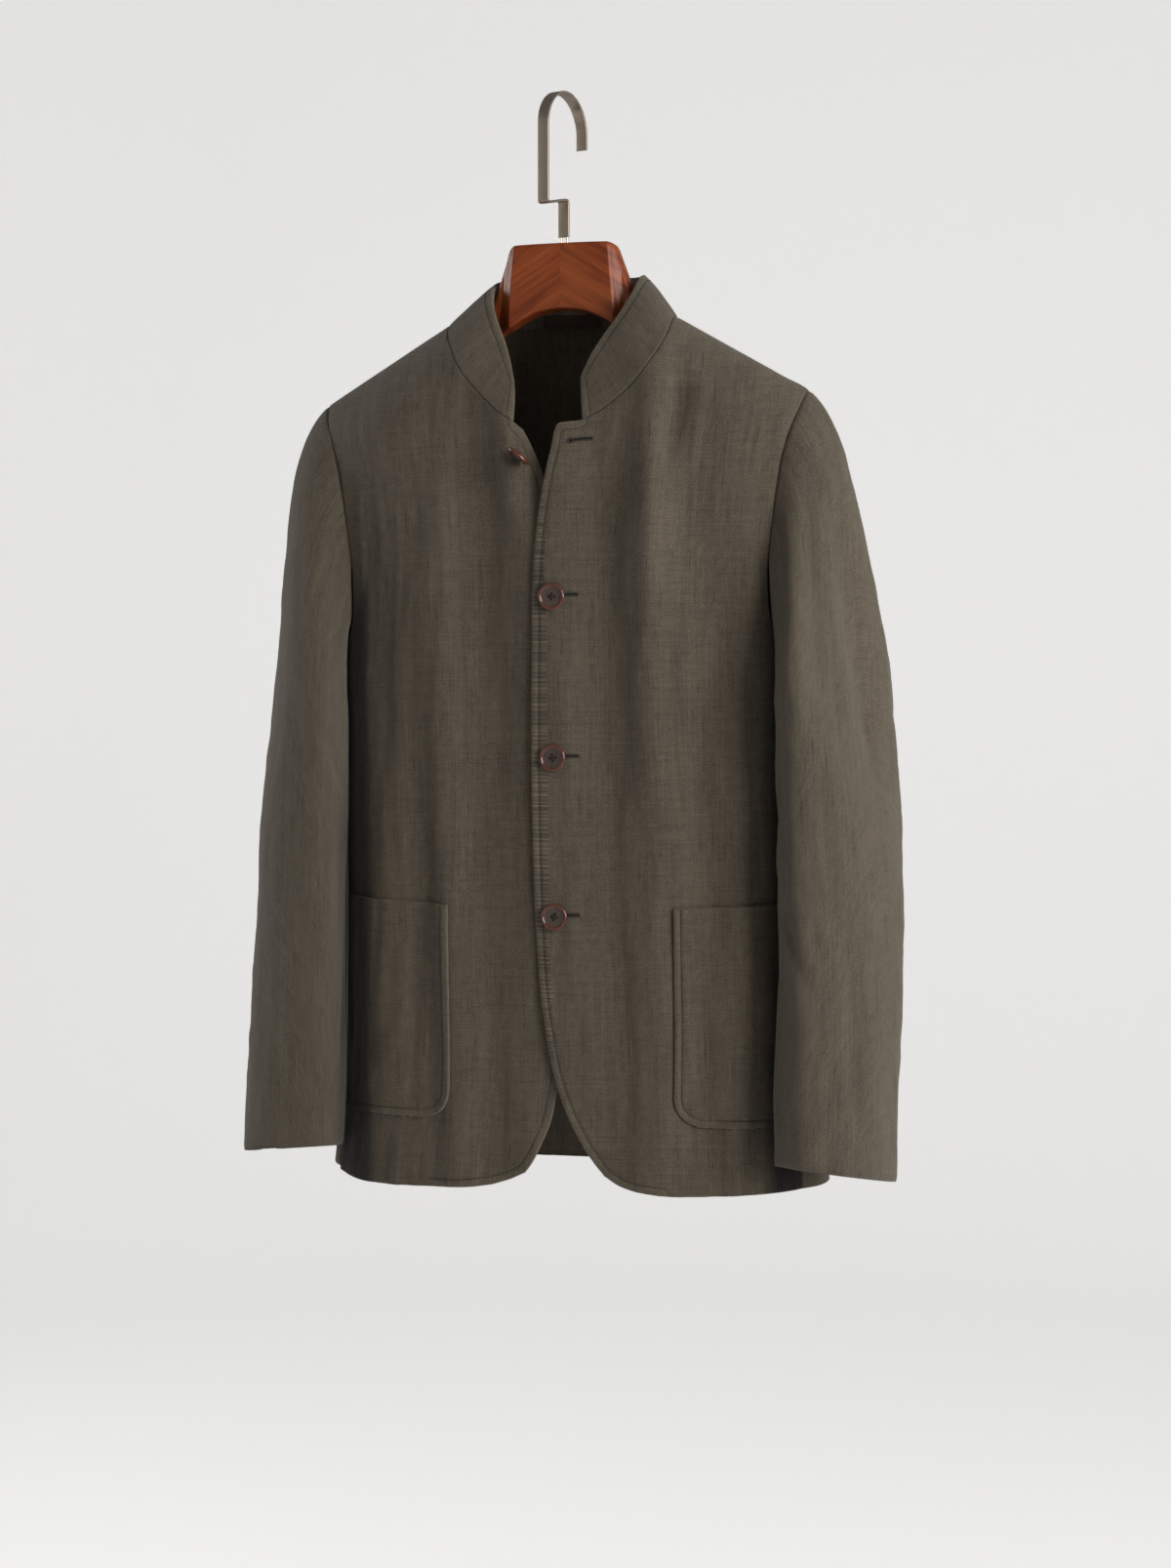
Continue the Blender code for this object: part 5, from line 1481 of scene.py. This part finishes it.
def build_sleeves():
    """Top and under sleeves: the hanging tube, creased and rumpled, cut at its two seams."""
    count = SLEEVE_STEPS * SLEEVE_FINE
    angles = np.arange(count) * 360.0 / count
    inside = np.cos(np.radians(angles - INSIDE_ANGLE)) > INSIDE_COSINE
    for side, word in SIDES:
        seam, seam_out = armhole(word, angles)
        rows = cap_rows(seam, angles, side)
        start = cap_foot(angles)
        end = cuff_height(angles)
        for part in even(SLEEVE_FINE_ROWS)[1:]:
            rows.append(clear_of_body(sleeve_ring(start + (end - start) * part, angles, side), side))
        grid = np.array(rows)
        closed = np.concatenate([grid, grid[:, :1]], 1)
        out = surface_normals(np.concatenate([grid[:, -1:], closed, grid[:, 1:2]], 1),
                              np.ones(3))[:, 1:-2]
        middle = grid.mean(1, keepdims=True)
        out = out * np.sign(((grid - middle) * out).sum(-1, keepdims=True))
        height = length_along(grid, 0)
        at_cuff = ease((height - height.max() + CUFF_FADE) / CUFF_FADE)
        fade = ease(height / SLEEVE_TOP_FADE) * (1 - CUFF_CALM * at_cuff)
        lift = sum(ring_rumple(angles[None], grid[..., 2], (seed + SLEEVE_SEEDS[side], *rest))
                   for seed, *rest in SLEEVE_WAVES)
        all_round = np.broadcast_to(angles, grid.shape[:2])
        lift = lift + fold_height(all_round, grid[..., 2], SLEEVE_CREASES, side)
        lift = lift * fade * np.where(inside, INSIDE_SHARE, 1)[None]
        moved = kept_clear(grid + out * lift[..., None], side)
        agree = (out[0] * seam_out).sum(-1, keepdims=True) > 0.2
        out[0] = unit(np.where(agree, seam_out + out[0], out[0]))
        for name, first, last in (("top_sleeve", FRONT_SEAM_STEP, BACK_SEAM_STEP),
                                  ("under_sleeve", BACK_SEAM_STEP - SLEEVE_STEPS, FRONT_SEAM_STEP)):
            steps = np.arange(first * SLEEVE_FINE, last * SLEEVE_FINE + 1)
            degrees = steps * 360.0 / count
            points = moved[:, steps]
            distances = border_distance(points)
            uv = np.stack([degrees * SLEEVE_DEGREE + 0 * points[..., 0], -height[:, steps]], -1)
            sewn = np.minimum.reduce([distances[0], distances[2], distances[3]])
            values = {"seam": sewn, "stitch": sewn + NO_STITCH,
                      "gap_shade": sleeve_gap_shade(degrees, points[..., 2], side)}
            cut_piece(f"{name}_{word}", points, out[:, steps], distances, uv, values)


# ---------------------------------------------------------------- collar
def fine_neckline():
    """Neckline on the fine panels, from the right front's end round the back to the left's."""
    extra = len(NEAR_BORDER) - 1
    first = EDGE_STEPS * CELL_COLUMNS + extra
    front = slice(first, first + NECK_STEPS * CELL_COLUMNS + 1)
    back = slice(SHOULDER_STEPS * CELL_COLUMNS + extra, None)
    joined = []
    for which in (0, 1):
        joined.append(np.concatenate([
            FINE["front_right"][which][-1, front][:-1],
            FINE["back_right"][which][-1, back],
            FINE["back_left"][which][-1, back][-2::-1],
            FINE["front_left"][which][-1, front][-2::-1],
        ]))
    return joined


def build_collar():
    """Stand collar: a band from the neckline to its upper edge, bowed a little, topstitched."""
    base, base_out = fine_neckline()
    length = length_along(base, 0)
    along = length / length[-1]
    top = np.stack([column(COLLAR, COLLAR_COLUMNS, axis, along) for axis in ("x", "y", "z")], -1)
    ahead = unit(np.gradient(base, axis=0))
    start = base + unit(np.cross(ahead, base_out)) * SEAM_GAP
    inward = unit(np.cross(ahead, top - base))
    parts = closer_ends(COLLAR_NEAR, even(COLLAR_FINE_ROWS)[1:-1])[:, None]
    swell = np.sin(np.pi * parts)
    grid = start + (top - start) * parts[..., None] - inward * COLLAR_BOW * swell[..., None]
    out = surface_normals(grid, base_out[None])
    wave = rumple(length[None], parts * COLLAR_WAVE_BAND, COLLAR_WAVES) * swell
    grid = grid + out * wave[..., None]
    out = surface_normals(grid, base_out[None])
    out[0] = base_out
    distances = border_distance(grid)
    bottom, upper, first, last = distances
    collar_stitching(grid, out, upper, first, last)
    stitched = np.minimum.reduce([upper, first, last]) - COLLAR_INSET
    uv = np.stack(np.broadcast_arrays(length[None], parts * COLLAR_BAND), -1)
    cut_piece("collar", grid, out, distances, uv,
              {"seam": bottom, "stitch": stitched}, thickness=COLLAR_CLOTH)
    return grid, out


def at_inset(grid, out, distance):
    """Point and direction of each of a grid's columns where a distance passes the collar's inset."""
    both = np.concatenate([grid, out], -1)
    found = []
    for step in range(grid.shape[1]):
        order = np.argsort(distance[:, step])
        found.append(read_line(COLLAR_INSET, distance[order, step], both[order, step]))
    return np.array(found)


def collar_stitching(grid, out, upper, first, last):
    """Topstitch of the collar: up one front end, along the upper edge, down the other end."""
    keep = (first[-1] > COLLAR_INSET) & (last[-1] > COLLAR_INSET)
    low = np.arange(2, np.argmax(upper[:, 2] < COLLAR_INSET))
    turned = np.swapaxes(grid, 0, 1), np.swapaxes(out, 0, 1)
    line = np.concatenate([at_inset(*turned, first.T)[low],
                           at_inset(grid, out, upper)[keep],
                           at_inset(*turned, last.T)[low[::-1]]])
    stitch_row(line[:, :3], line[:, 3:])


# ---------------------------------------------------------------- pockets
def turn_along(start_x, lengths, z, side):
    """Turns that lie at given lengths round the form from a starting place."""
    turns = np.linspace(0, 1.2, 241)
    travelled = run_length(body_point(turns, z, side))
    origin = np.interp(float(turn_at(start_x, z)), turns, travelled)
    return np.interp(origin + lengths, travelled, turns)


def pocket_turns(start_x, lengths, z, side):
    """Turns of points of a pocket given by their length across and their height."""
    return np.array([turn_along(start_x, np.array([length]), height, side)[0]
                     for length, height in zip(lengths, z)])


def build_pocket(side, word, start_x):
    """Patch pocket: cloth laid on the front, rounded at its lower corners, stitched round."""
    rows = []
    across = closer_ends(POCKET_NEAR, even(POCKET_FINE_STEPS)[2:-2])
    up = 1 - np.cos(even(POCKET_FINE_ROWS)[:-1] * np.pi / 2)
    for part in np.concatenate([up, POCKET_TOP_ROWS]):
        z = POCKET_BOTTOM_Z + (POCKET_TOP_Z - POCKET_BOTTOM_Z) * part
        above = min((z - POCKET_BOTTOM_Z) / POCKET_CORNER, 1)
        corner = POCKET_CORNER * (1 - np.sqrt(1 - (1 - above) ** 2))
        lengths = corner + (POCKET_WIDTH - 2 * corner) * across
        tilted = z + POCKET_TOP_TILT * part * (lengths - POCKET_WIDTH / 3)
        rows.append(np.stack([turn_along(start_x, lengths, z, side), tilted, lengths], -1))
    turns, heights, lengths = np.moveaxis(np.array(rows), -1, 0)
    points, out = cloth_points(turns, heights, side)
    distances = border_distance(points)
    seam = np.minimum.reduce([distances[0], distances[2], distances[3]])
    waves = rumple(lengths, heights, (POCKET_SEED + side, *POCKET_WAVES))
    puff = ease(seam / POCKET_PUFF_WIDTH) * (POCKET_PUFF + waves)
    points = points + out * (POCKET_GAP + CLOTH + puff)[..., None]
    pocket_stitching(side, start_x)
    uv = np.stack([lengths + POCKET_UV_FROM, heights], -1)
    outline = np.concatenate([points[::-1, 0], points[0, 1:-1], points[:, -1]])
    stitched = nearest_distance(points, resample(outline, 1.0)) - POCKET_INSET
    values = {"seam": seam + 1, "stitch": stitched, "gap_shade": body_gap_shade(points, side)}
    cut_piece(f"pocket_{word}", points, surface_normals(points, out), distances,
              uv, values)


def pocket_stitching(side, start_x):
    """Topstitch of a pocket: down one side, round both corners, up the other side."""
    low, radius = POCKET_BOTTOM_Z, POCKET_CORNER
    left = [(0, z) for z in np.linspace(POCKET_TOP_Z - 1, low + radius, 60)]
    corner = [(radius * (1 - np.cos(angle)), low + radius * (1 - np.sin(angle)))
              for angle in np.linspace(0, np.pi / 2, 14)]
    base = [(length, low) for length in np.linspace(radius, POCKET_WIDTH - radius, 30)]
    right = [(POCKET_WIDTH - length, z) for length, z in corner[::-1] + left[::-1]]
    outline = np.array(left + corner + base + right)
    flat = inset_line(resample(outline, 1.0), POCKET_INSET)
    turns = pocket_turns(start_x, flat[:, 0], flat[:, 1], side)
    points, out = cloth_points(turns, flat[:, 1], side)
    stitch_row(points + out * (POCKET_GAP + CLOTH + POCKET_STITCH_LIFT), out)


# ---------------------------------------------------------------- buttons and buttonholes
# radius and height of the turned outline, from the back's centre round to the front's
BUTTON_PROFILE = [
    (0.01, 0.3), (4.0, 0.15), (8.0, 0.0), (9.6, 0.4), (10.6, 1.2), (11.1, 2.0), (11.2, 2.6), (11.0, 3.15),
    (10.5, 3.6), (9.9, 3.75), (9.3, 3.65), (8.8, 3.3), (8.5, 2.85), (8.3, 2.6), (8.1, 2.72), (7.9, 2.72),
    (7.6, 2.55), (6.0, 2.3), (4.6, 2.2), (3.6, 2.16), (0.01, 2.1),
]
BUTTON_SIDES = 96
# the outline's points where its rim falls into the dish and where the dish grows flat, with
# the steps up to the flat and across it
BUTTON_RIM_POINT = 12
BUTTON_FLAT_POINT = -4
BUTTON_RIM_STEPS = 59
BUTTON_FLAT_STEPS = 43
# four sewn holes: how far out, radius, width of the soft edge, its part outside, depth
HOLE_REACH = 2.4
HOLE_RADIUS = 0.95
HOLE_RAMP = 0.4
HOLE_RAMP_OUT = 0.22
HOLE_DEPTH = 1.7
DISH_RADIUS = 8.6
DISH_RAMP = 0.4
# thread through the holes: foot, rise of the two crossing pairs, length past the holes, spacing
SEWN_FOOT = 1.75
SEWN_RISES = (0.72, 0.96)
SEWN_REACH = HOLE_REACH + 0.15
SEWN_APART = 0.28
SEWN_RADIUS = 0.24
THREAD_SIDES = 8
# shank of the open top button: four threads that bow apart
SHANK_THREADS = 4
SHANK_SPREAD = 0.45
SHANK_STEP = 1.7
SHANK_RADIUS = 0.35
SHANK_DEPTH = 0.6
LOOSE_BUTTON_DROP = (4.0, 0.0, -3.5)
LOOSE_BUTTON_TIP = (-0.05, 0.30, 0.0)
LOOSE_BUTTON_UP = (0.3, 0.2, 1.0)
# lean across and up, turn in degrees
BUTTON_TILTS = ((0.02, -0.03, 4), (-0.03, 0.02, -7), (0.02, 0.03, 11))
# ends of the top buttonhole, and of the others beside and above their buttons' middles
TOP_HOLE = ((18.5, -295.0), (38.0, -292.6))
SIDE_HOLE = ((9.0, 1.2), (21.5, 1.4))
# a buttonhole's line: points, sag, half width, extra in its round end, half width at its tail
SLIT_POINTS = 40
SLIT_SAG = 0.35
SLIT_HALF = 0.5
SLIT_EYE = 0.75
SLIT_TAIL = 0.12
SLIT_EYE_POINTS = 7
SLIT_TAIL_POINTS = 4
# share of the half width and lift of the slit's four long edges
SLIT_SECTION = ((-1.35, 0.05), (-1, 0.34), (1, 0.34), (1.35, 0.05))
# its worked threads: pitch, distance from the slit, lift, length, radius, fan at the front end
WORK_PITCH = 0.62
WORK_ASIDE = 0.75
WORK_LIFT = 0.18
WORK_LENGTH = 1.5
WORK_RADIUS = 0.34
WORK_FAN = 9


def button(name, centre, face, up):
    """Turned horn button with four sewn holes, its outline carried round its axis."""
    face = unit(np.array(face, float))
    second = unit(up - face * np.dot(up, face))
    first = np.cross(second, face)
    outline = np.array(BUTTON_PROFILE)
    length = run_length(outline)
    flat_from = length[BUTTON_FLAT_POINT]
    fine = np.concatenate([np.linspace(0, flat_from, BUTTON_RIM_STEPS + 1)[:-1],
                           np.linspace(flat_from, length[-1], BUTTON_FLAT_STEPS + 1)])
    radius, height = read_line(fine, length, outline).T[..., None]
    angles = circle(BUTTON_SIDES)[None]
    x, y = radius * np.cos(angles), radius * np.sin(angles)
    is_face = (fine > length[BUTTON_RIM_POINT])[:, None]
    for turn in circle(4):
        away = np.hypot(x - HOLE_REACH * np.cos(turn), y - HOLE_REACH * np.sin(turn))
        sunk = HOLE_DEPTH * ease((HOLE_RADIUS + HOLE_RAMP_OUT - away) / HOLE_RAMP)
        height = height - np.where(is_face, sunk, 0)
    points = centre + x[..., None] * first + y[..., None] * second + height[..., None] * face
    dish = np.broadcast_to(ease((DISH_RADIUS - radius) / DISH_RAMP) * is_face, x.shape)
    piece = mesh_object(name + "_horn", points.reshape(-1, 3), capped(len(fine), BUTTON_SIDES), HORN,
                        values={"dish": dish})
    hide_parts(name)
    part = np.linspace(-1, 1, 17)[:, None]
    for index, (way, rise) in enumerate(zip((first, second), SEWN_RISES)):
        arch = (centre + face * SEWN_FOOT + unit(way) * part * SEWN_REACH
                + face * rise * np.clip(1.06 - part ** 6, 0, 1))
        aside = unit(np.cross(way, face)) * SEWN_APART
        for letter, shift in (("a", -aside), ("b", aside)):
            tube(f"{name}_thread_{index + 1}{letter}", arch + shift, SEWN_RADIUS, THREAD_SIDES,
                 BUTTON_THREAD)


def build_buttons():
    """Three buttons done up on the left front and the open top one on its thread shank."""
    up = np.array([0.0, 0.0, 1.0])
    for index, z in enumerate(BUTTON_HEIGHTS):
        points, out = on_front(np.array([[BUTTON_X, z]]), 1)
        lean_x, lean_z, turned = BUTTON_TILTS[index]
        face = out[0] + np.array([lean_x, 0, lean_z])
        spin = np.radians(turned)
        button(f"button_{index + 2}", points[0] + out[0] * BUTTON_SEAT, face,
               up * np.cos(spin) + np.array([np.sin(spin), 0, 0]))
    points, out = on_front(np.array([LOOSE_BUTTON_PLACE], float), -1)
    centre = points[0] + out[0] * LOOSE_BUTTON_STAND + np.array(LOOSE_BUTTON_DROP)
    face = unit(np.array(LOOSE_BUTTON_FACE) + np.array(LOOSE_BUTTON_TIP))
    button("button_1", centre, face, np.array(LOOSE_BUTTON_UP))
    part = np.linspace(0, 1, 20)[:, None]
    foot = points[0] - out[0] * SHANK_DEPTH
    for index in range(SHANK_THREADS):
        turn = index * SHANK_STEP
        aside = SHANK_SPREAD * np.array([np.cos(turn), 0, np.sin(turn)])
        path = centre + (foot - centre) * part + aside * (np.sin(np.pi * part) + 0.6)
        tube(f"button_1_shank_{index + 1}", path, SHANK_RADIUS, THREAD_SIDES, BUTTON_THREAD)


def buttonhole(name, start, end, round_end):
    """Worked buttonhole on the left front: a near-black strip as painted shade of its slit, a close row of
    short threads round it.
    """
    line = np.linspace(start, end, SLIT_POINTS)
    line[:, 1] += SLIT_SAG * np.sin(np.linspace(0, np.pi, SLIT_POINTS))
    points, out = on_front(line, 1)
    ahead = unit(np.gradient(points, axis=0))
    across = np.cross(ahead, out)
    wide = np.full(SLIT_POINTS, SLIT_HALF)
    if round_end:
        eye = np.sin(np.linspace(0.35, np.pi, SLIT_EYE_POINTS))
        wide[:SLIT_EYE_POINTS] = SLIT_HALF + SLIT_EYE * eye
    wide[-SLIT_TAIL_POINTS:] = np.linspace(SLIT_HALF, SLIT_TAIL, SLIT_TAIL_POINTS)
    rows = [points + across * (wide * way)[:, None] + out * lift for way, lift in SLIT_SECTION]
    faces = quads(len(rows), SLIT_POINTS).tolist()
    # painted shade: a near-black strip for the slit
    slit = mesh_object(name + "_slit", np.concatenate(rows), faces, SHADE_BLACK)
    both = resample(np.concatenate([points, out, across, wide[:, None]], 1), WORK_PITCH)
    spots, outs, sides, widths = both[:, :3], both[:, 3:6], both[:, 6:9], both[:, 9:]
    aside = sides * (widths + WORK_ASIDE)
    turns = np.radians(np.linspace(100, 260, WORK_FAN))[:, None]
    fan = ahead[0] * np.cos(turns) + across[0] * np.sin(turns)
    centres = np.concatenate([spots + aside, spots - aside, points[0] + fan * WORK_LENGTH])
    outs = np.concatenate([outs, outs, np.tile(out[0], (WORK_FAN, 1))])
    ways = np.concatenate([sides, sides, fan])
    beads(name + "_threads", centres + outs * WORK_LIFT, ways, outs, WORK_LENGTH, WORK_RADIUS,
          HOLE_THREAD)


def build_buttonholes():
    """The open top buttonhole and the ends of the three that show beside their buttons."""
    buttonhole("buttonhole_1", *TOP_HOLE, True)
    for index, z in enumerate(BUTTON_HEIGHTS):
        start, end = np.array([BUTTON_X, z]) + np.array(SIDE_HOLE)
        buttonhole(f"buttonhole_{index + 2}", start, end, False)


# ---------------------------------------------------------------- label
def build_label(collar, out):
    """Blank woven label on the inside of the back collar, just above the neck seam."""
    half = collar.shape[1] // 2
    near = np.arange(half - LABEL_COLUMNS, half + LABEL_COLUMNS + 1)
    order = near[np.argsort(collar[0, near, 0])]
    wanted = np.linspace(LABEL_FROM_X, LABEL_TO_X, LABEL_STEPS + 1)
    low, high, facing = (read_line(wanted, collar[0, order, 0], row[order])
                         for row in (collar[0], collar[-1], out[LABEL_COLLAR_ROW]))
    heights = even(LABEL_ROWS)[:, None] * LABEL_HEIGHT
    facing = unit(facing)
    cover = low + unit(high - low) * (LABEL_FOOT + heights)[..., None]
    cover = cover - facing * (COLLAR_CLOTH + LABEL_SEAT + LABEL_THICK)
    normals = np.broadcast_to(-facing, cover.shape)
    uv = np.stack(np.broadcast_arrays(wanted[None], heights), -1)
    near_edge = np.minimum.reduce(border_distance(cover))
    piece = shell("neck_label_cloth", cover, normals, LABEL_THICK, LABEL_CLOTH, uv,
                  {"seam": near_edge + NO_STITCH, "stitch": near_edge + NO_STITCH})
    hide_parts("neck_label")


# ---------------------------------------------------------------- hanger and hook
def inside_cloth(x, y, z):
    """Depths kept inside the cloth of the shoulders, measured on the form a little higher up."""
    raised = z + CLOTH + ARM_ROOM
    middle = column(BODY, BODY_COLUMNS, "side", z)
    front = body_point(turn_at(x, raised), raised, 0)[..., 1] + CLOTH + ARM_ROOM
    back = body_point(turn_at(x, raised, True), raised, 0)[..., 1] - CLOTH - ARM_ROOM
    front = np.minimum(front, middle - ARM_RIDGE)
    back = np.maximum(back, middle + ARM_RIDGE)
    return np.clip(y, front, back)


def bend(corner, before, after, radius, steps=5):
    """Points of a rounded corner between two straight runs, as a quadratic curve."""
    corner = np.array(corner, float)
    start, end = (corner + unit(np.array(other, float) - corner) * radius for other in (before, after))
    part = np.linspace(0, 1, steps)[:, None]
    return (1 - part) ** 2 * start + 2 * part * (1 - part) * corner + part ** 2 * end


def hook_path():
    """Line of the flat hook in its own plane: forward distance and height, foot to tip."""
    forward = HOOK_RADIUS + HOOK_FORWARD
    rear = HOOK_RADIUS - HOOK_FORWARD
    foot = (0, HOOK_FOOT_Z)
    jog_back = (0, HOOK_JOG_Z)
    jog_front = (forward, HOOK_FRONT_FOOT_Z)
    spring = (forward, HOOK_TOP_Z - HOOK_RADIUS)
    arc = np.radians(np.linspace(0, 180, 19))
    over = np.stack([HOOK_FORWARD + HOOK_RADIUS * np.cos(arc),
                     HOOK_TOP_Z - HOOK_RADIUS + HOOK_RADIUS * np.sin(arc)], -1)
    return np.concatenate([[foot], bend(jog_back, foot, jog_front, HOOK_BEND),
                           bend(jog_front, jog_back, spring, HOOK_BEND), over, [(-rear, HOOK_TIP_Z)]])


# distances from the centre at which the hanger's section is drawn, closest at its shoulders
HANGER_FINE = np.concatenate([np.linspace(0, 36, 19), np.linspace(37, 60, 47), np.linspace(62, 202, 71)])
HANGER_SIDES = 96
# degrees between two faces past which their edge is drawn sharp
WOOD_SHARP = 40
HOOK_SHARP = 50


def build_hanger():
    """Lacquered hanger: square arched middle, arms that round off and follow the shoulders."""
    stations = np.concatenate([-HANGER_FINE[:0:-1], HANGER_FINE])
    reach = np.abs(stations)
    angles = circle(HANGER_SIDES) + np.radians(45)
    top, under, front, back, power = columns(
        HANGER, HANGER_COLUMNS, reach, "top", "under", "front", "back", "power")
    under_cloth = shoulder_height(reach) - (CLOTH + HANGER_SEAT) * np.hypot(1, SHOULDER_SLOPE)
    top = np.where(reach > ARM_FROM_X, np.minimum(top, under_cloth), top)
    power = 2 / power[:, None]
    cosine = np.sign(np.cos(angles)) * np.abs(np.cos(angles)) ** power
    sine = np.sign(np.sin(angles)) * np.abs(np.sin(angles)) ** power
    y = ((front + back) / 2)[:, None] + ((back - front) / 2)[:, None] * cosine
    z = ((top + under) / 2)[:, None] + ((top - under) / 2)[:, None] * sine
    block = 1 - ease((reach[:, None] - HANGER_BLOCK_SIDE) / HANGER_BLOCK_FADE)
    flare = HANGER_FLARE * np.clip((top[:, None] - z) / HANGER_BLOCK_HEIGHT, 0, 1) * block
    x = stations[:, None] * (1 + flare)
    y = np.where(reach[:, None] > ARM_FROM_X, inside_cloth(np.abs(x), y, z), y)
    points = np.stack([x, y, z], -1)
    faces = capped(len(stations), HANGER_SIDES, True)
    piece = mesh_object("hanger_wood", points.reshape(-1, 3), faces, WOOD)
    piece.data.set_sharp_from_angle(angle=np.radians(WOOD_SHARP))
    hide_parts("hanger_body")


def build_hook():
    """Flat hook: a strip with eased edges carried along its bends."""
    path = hook_path()
    length = run_length(path)
    fine = even(HOOK_STEPS) * length[-1]
    path = np.stack([smooth_read(fine, length, path[:, axis]) for axis in (0, 1)], -1)
    turned = np.radians(HOOK_TURN)
    forward = np.array([-np.sin(turned), -np.cos(turned), 0])
    aside = np.array([np.cos(turned), -np.sin(turned), 0])
    ahead = unit(np.gradient(path, axis=0))
    thick = np.stack([-ahead[:, 1], ahead[:, 0]], -1)
    half = HOOK_WIDTH / 2 - HOOK_EASED
    deep = HOOK_THICK / 2 - HOOK_EASED
    turns = np.radians(np.linspace(0, 90, 4))
    ring = np.array([(across * (half + HOOK_EASED * np.cos(turn)),
                      over * (deep + HOOK_EASED * np.sin(turn)))
                     for across, over in ((1, 1), (-1, 1), (-1, -1), (1, -1))
                     for turn in turns[::across * over]])
    flat = path[:, None] + thick[:, None] * ring[None, :, 1:]
    points = flat[..., :1] * forward + flat[..., 1:] * np.array([0, 0, 1.0]) + ring[None, :, :1] * aside
    piece = mesh_object("hook_nickel", points.reshape(-1, 3), capped(len(path), len(ring)), NICKEL)
    piece.data.set_sharp_from_angle(angle=np.radians(HOOK_SHARP))
    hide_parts("hanger_hook")
    for index in (1, 2):
        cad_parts[f"hook_pin_{index}"].material_slots[0].material = NICKEL


# ---------------------------------------------------------------- studio
def build_studio():
    """Pale floor that sweeps up all round, soft lights and the camera at the photo's angle."""
    floor = [(0.001, FLOOR_Z)] + [(reach, FLOOR_Z) for reach in np.linspace(200, FLOOR_REACH, 12)]
    bend_angles = np.linspace(0.1, np.pi / 2, 16)
    bend_up = np.stack([FLOOR_REACH + SWEEP_RADIUS * np.sin(bend_angles),
                        FLOOR_Z + SWEEP_RADIUS * (1 - np.cos(bend_angles))], -1)
    outline = np.concatenate([floor, bend_up, [(FLOOR_REACH + SWEEP_RADIUS, WALL_TOP_Z)]])
    angles = circle(SWEEP_SIDES)
    points = np.stack([outline[:, :1] * np.cos(angles), outline[:, :1] * np.sin(angles),
                       outline[:, 1:] + 0 * angles], -1)
    made, tree, shader = base_material("studio_paper")
    shader.inputs["Base Color"].default_value = (0.80, 0.795, 0.785, 1)
    shader.inputs["Roughness"].default_value = 0.9
    shader.inputs["Emission Color"].default_value = (0.99, 0.99, 0.985, 1)
    seen = place(tree, "ShaderNodeLightPath").outputs["Is Camera Ray"]
    tree.links.new(sums(tree, "MULTIPLY", seen, PAPER_GLOW), shader.inputs["Emission Strength"])
    faces = quads(len(outline), SWEEP_SIDES, True).tolist()
    sweep = mesh_object("studio_sweep", points.reshape(-1, 3), faces, made)
    world = bpy.data.worlds.new("studio_air")
    bpy.context.scene.world = world
    world.use_nodes = True
    air = world.node_tree.nodes["Background"]
    air.inputs[0].default_value = (1.0, 0.995, 0.985, 1)
    air.inputs[1].default_value = AIR_STRENGTH
    for name, spot, size, power, colour in LIGHTS:
        light = bpy.data.lights.new(name, "AREA")
        light.shape = "RECTANGLE"
        light.size, light.size_y = size
        light.energy = power
        light.color = colour
        thing = new_thing(name, light)
        thing.location = spot
        way = mathutils.Vector(LIGHT_AIM) - mathutils.Vector(spot)
        thing.rotation_euler = way.to_track_quat("-Z", "Y").to_euler()
    camera = bpy.data.cameras.new("camera")
    camera.sensor_width = 36
    camera.lens = CAMERA_LENS
    camera.clip_end = 50
    thing = new_thing("camera", camera)
    thing.location = CAMERA_PLACE
    thing.rotation_euler = (np.radians(90 - CAMERA_DIP), 0, np.radians(CAMERA_TURN))
    bpy.context.scene.camera = thing
    bpy.context.scene.view_settings.view_transform = "Standard"


FLOOR_Z = -1750.0
FLOOR_REACH = 3200
SWEEP_RADIUS = 1400
SWEEP_SIDES = 96
WALL_TOP_Z = 1800.0
# name, place, size, power, colour; in metres and watts, all aimed at the jacket's middle
LIGHTS = [
    ("key_right", (2.22, -1.27, 0.06), (1.1, 1.7), 50, (1.0, 0.985, 0.965)),
    ("side_right", (2.54, 0.02, 0.06), (1.1, 1.7), 15, (1.0, 0.985, 0.965)),
    ("rim_left", (-2.53, 0.25, 0.06), (1.1, 1.7), 24, (1.0, 0.99, 0.98)),
    ("front", (0.43, -3.04, 0.35), (2.4, 1.8), 1.5, (1.0, 0.99, 0.975)),
]
LIGHT_AIM = (0.0, 0.02, -0.48)
AIR_STRENGTH = 0.145
PAPER_GLOW = 0.50
CAMERA_LENS = 58.244
CAMERA_PLACE = (0.5738, -2.0711, -0.511)
CAMERA_DIP = 1.82
CAMERA_TURN = 15

build_panels()
build_sleeves()
COLLAR_GRID, COLLAR_OUT = build_collar()
build_pocket(1, "left", POCKET_INNER_LEFT)
build_pocket(-1, "right", POCKET_INNER_RIGHT)
build_buttons()
build_buttonholes()
build_label(COLLAR_GRID, COLLAR_OUT)
build_hanger()
build_hook()
build_topstitch()
build_studio()
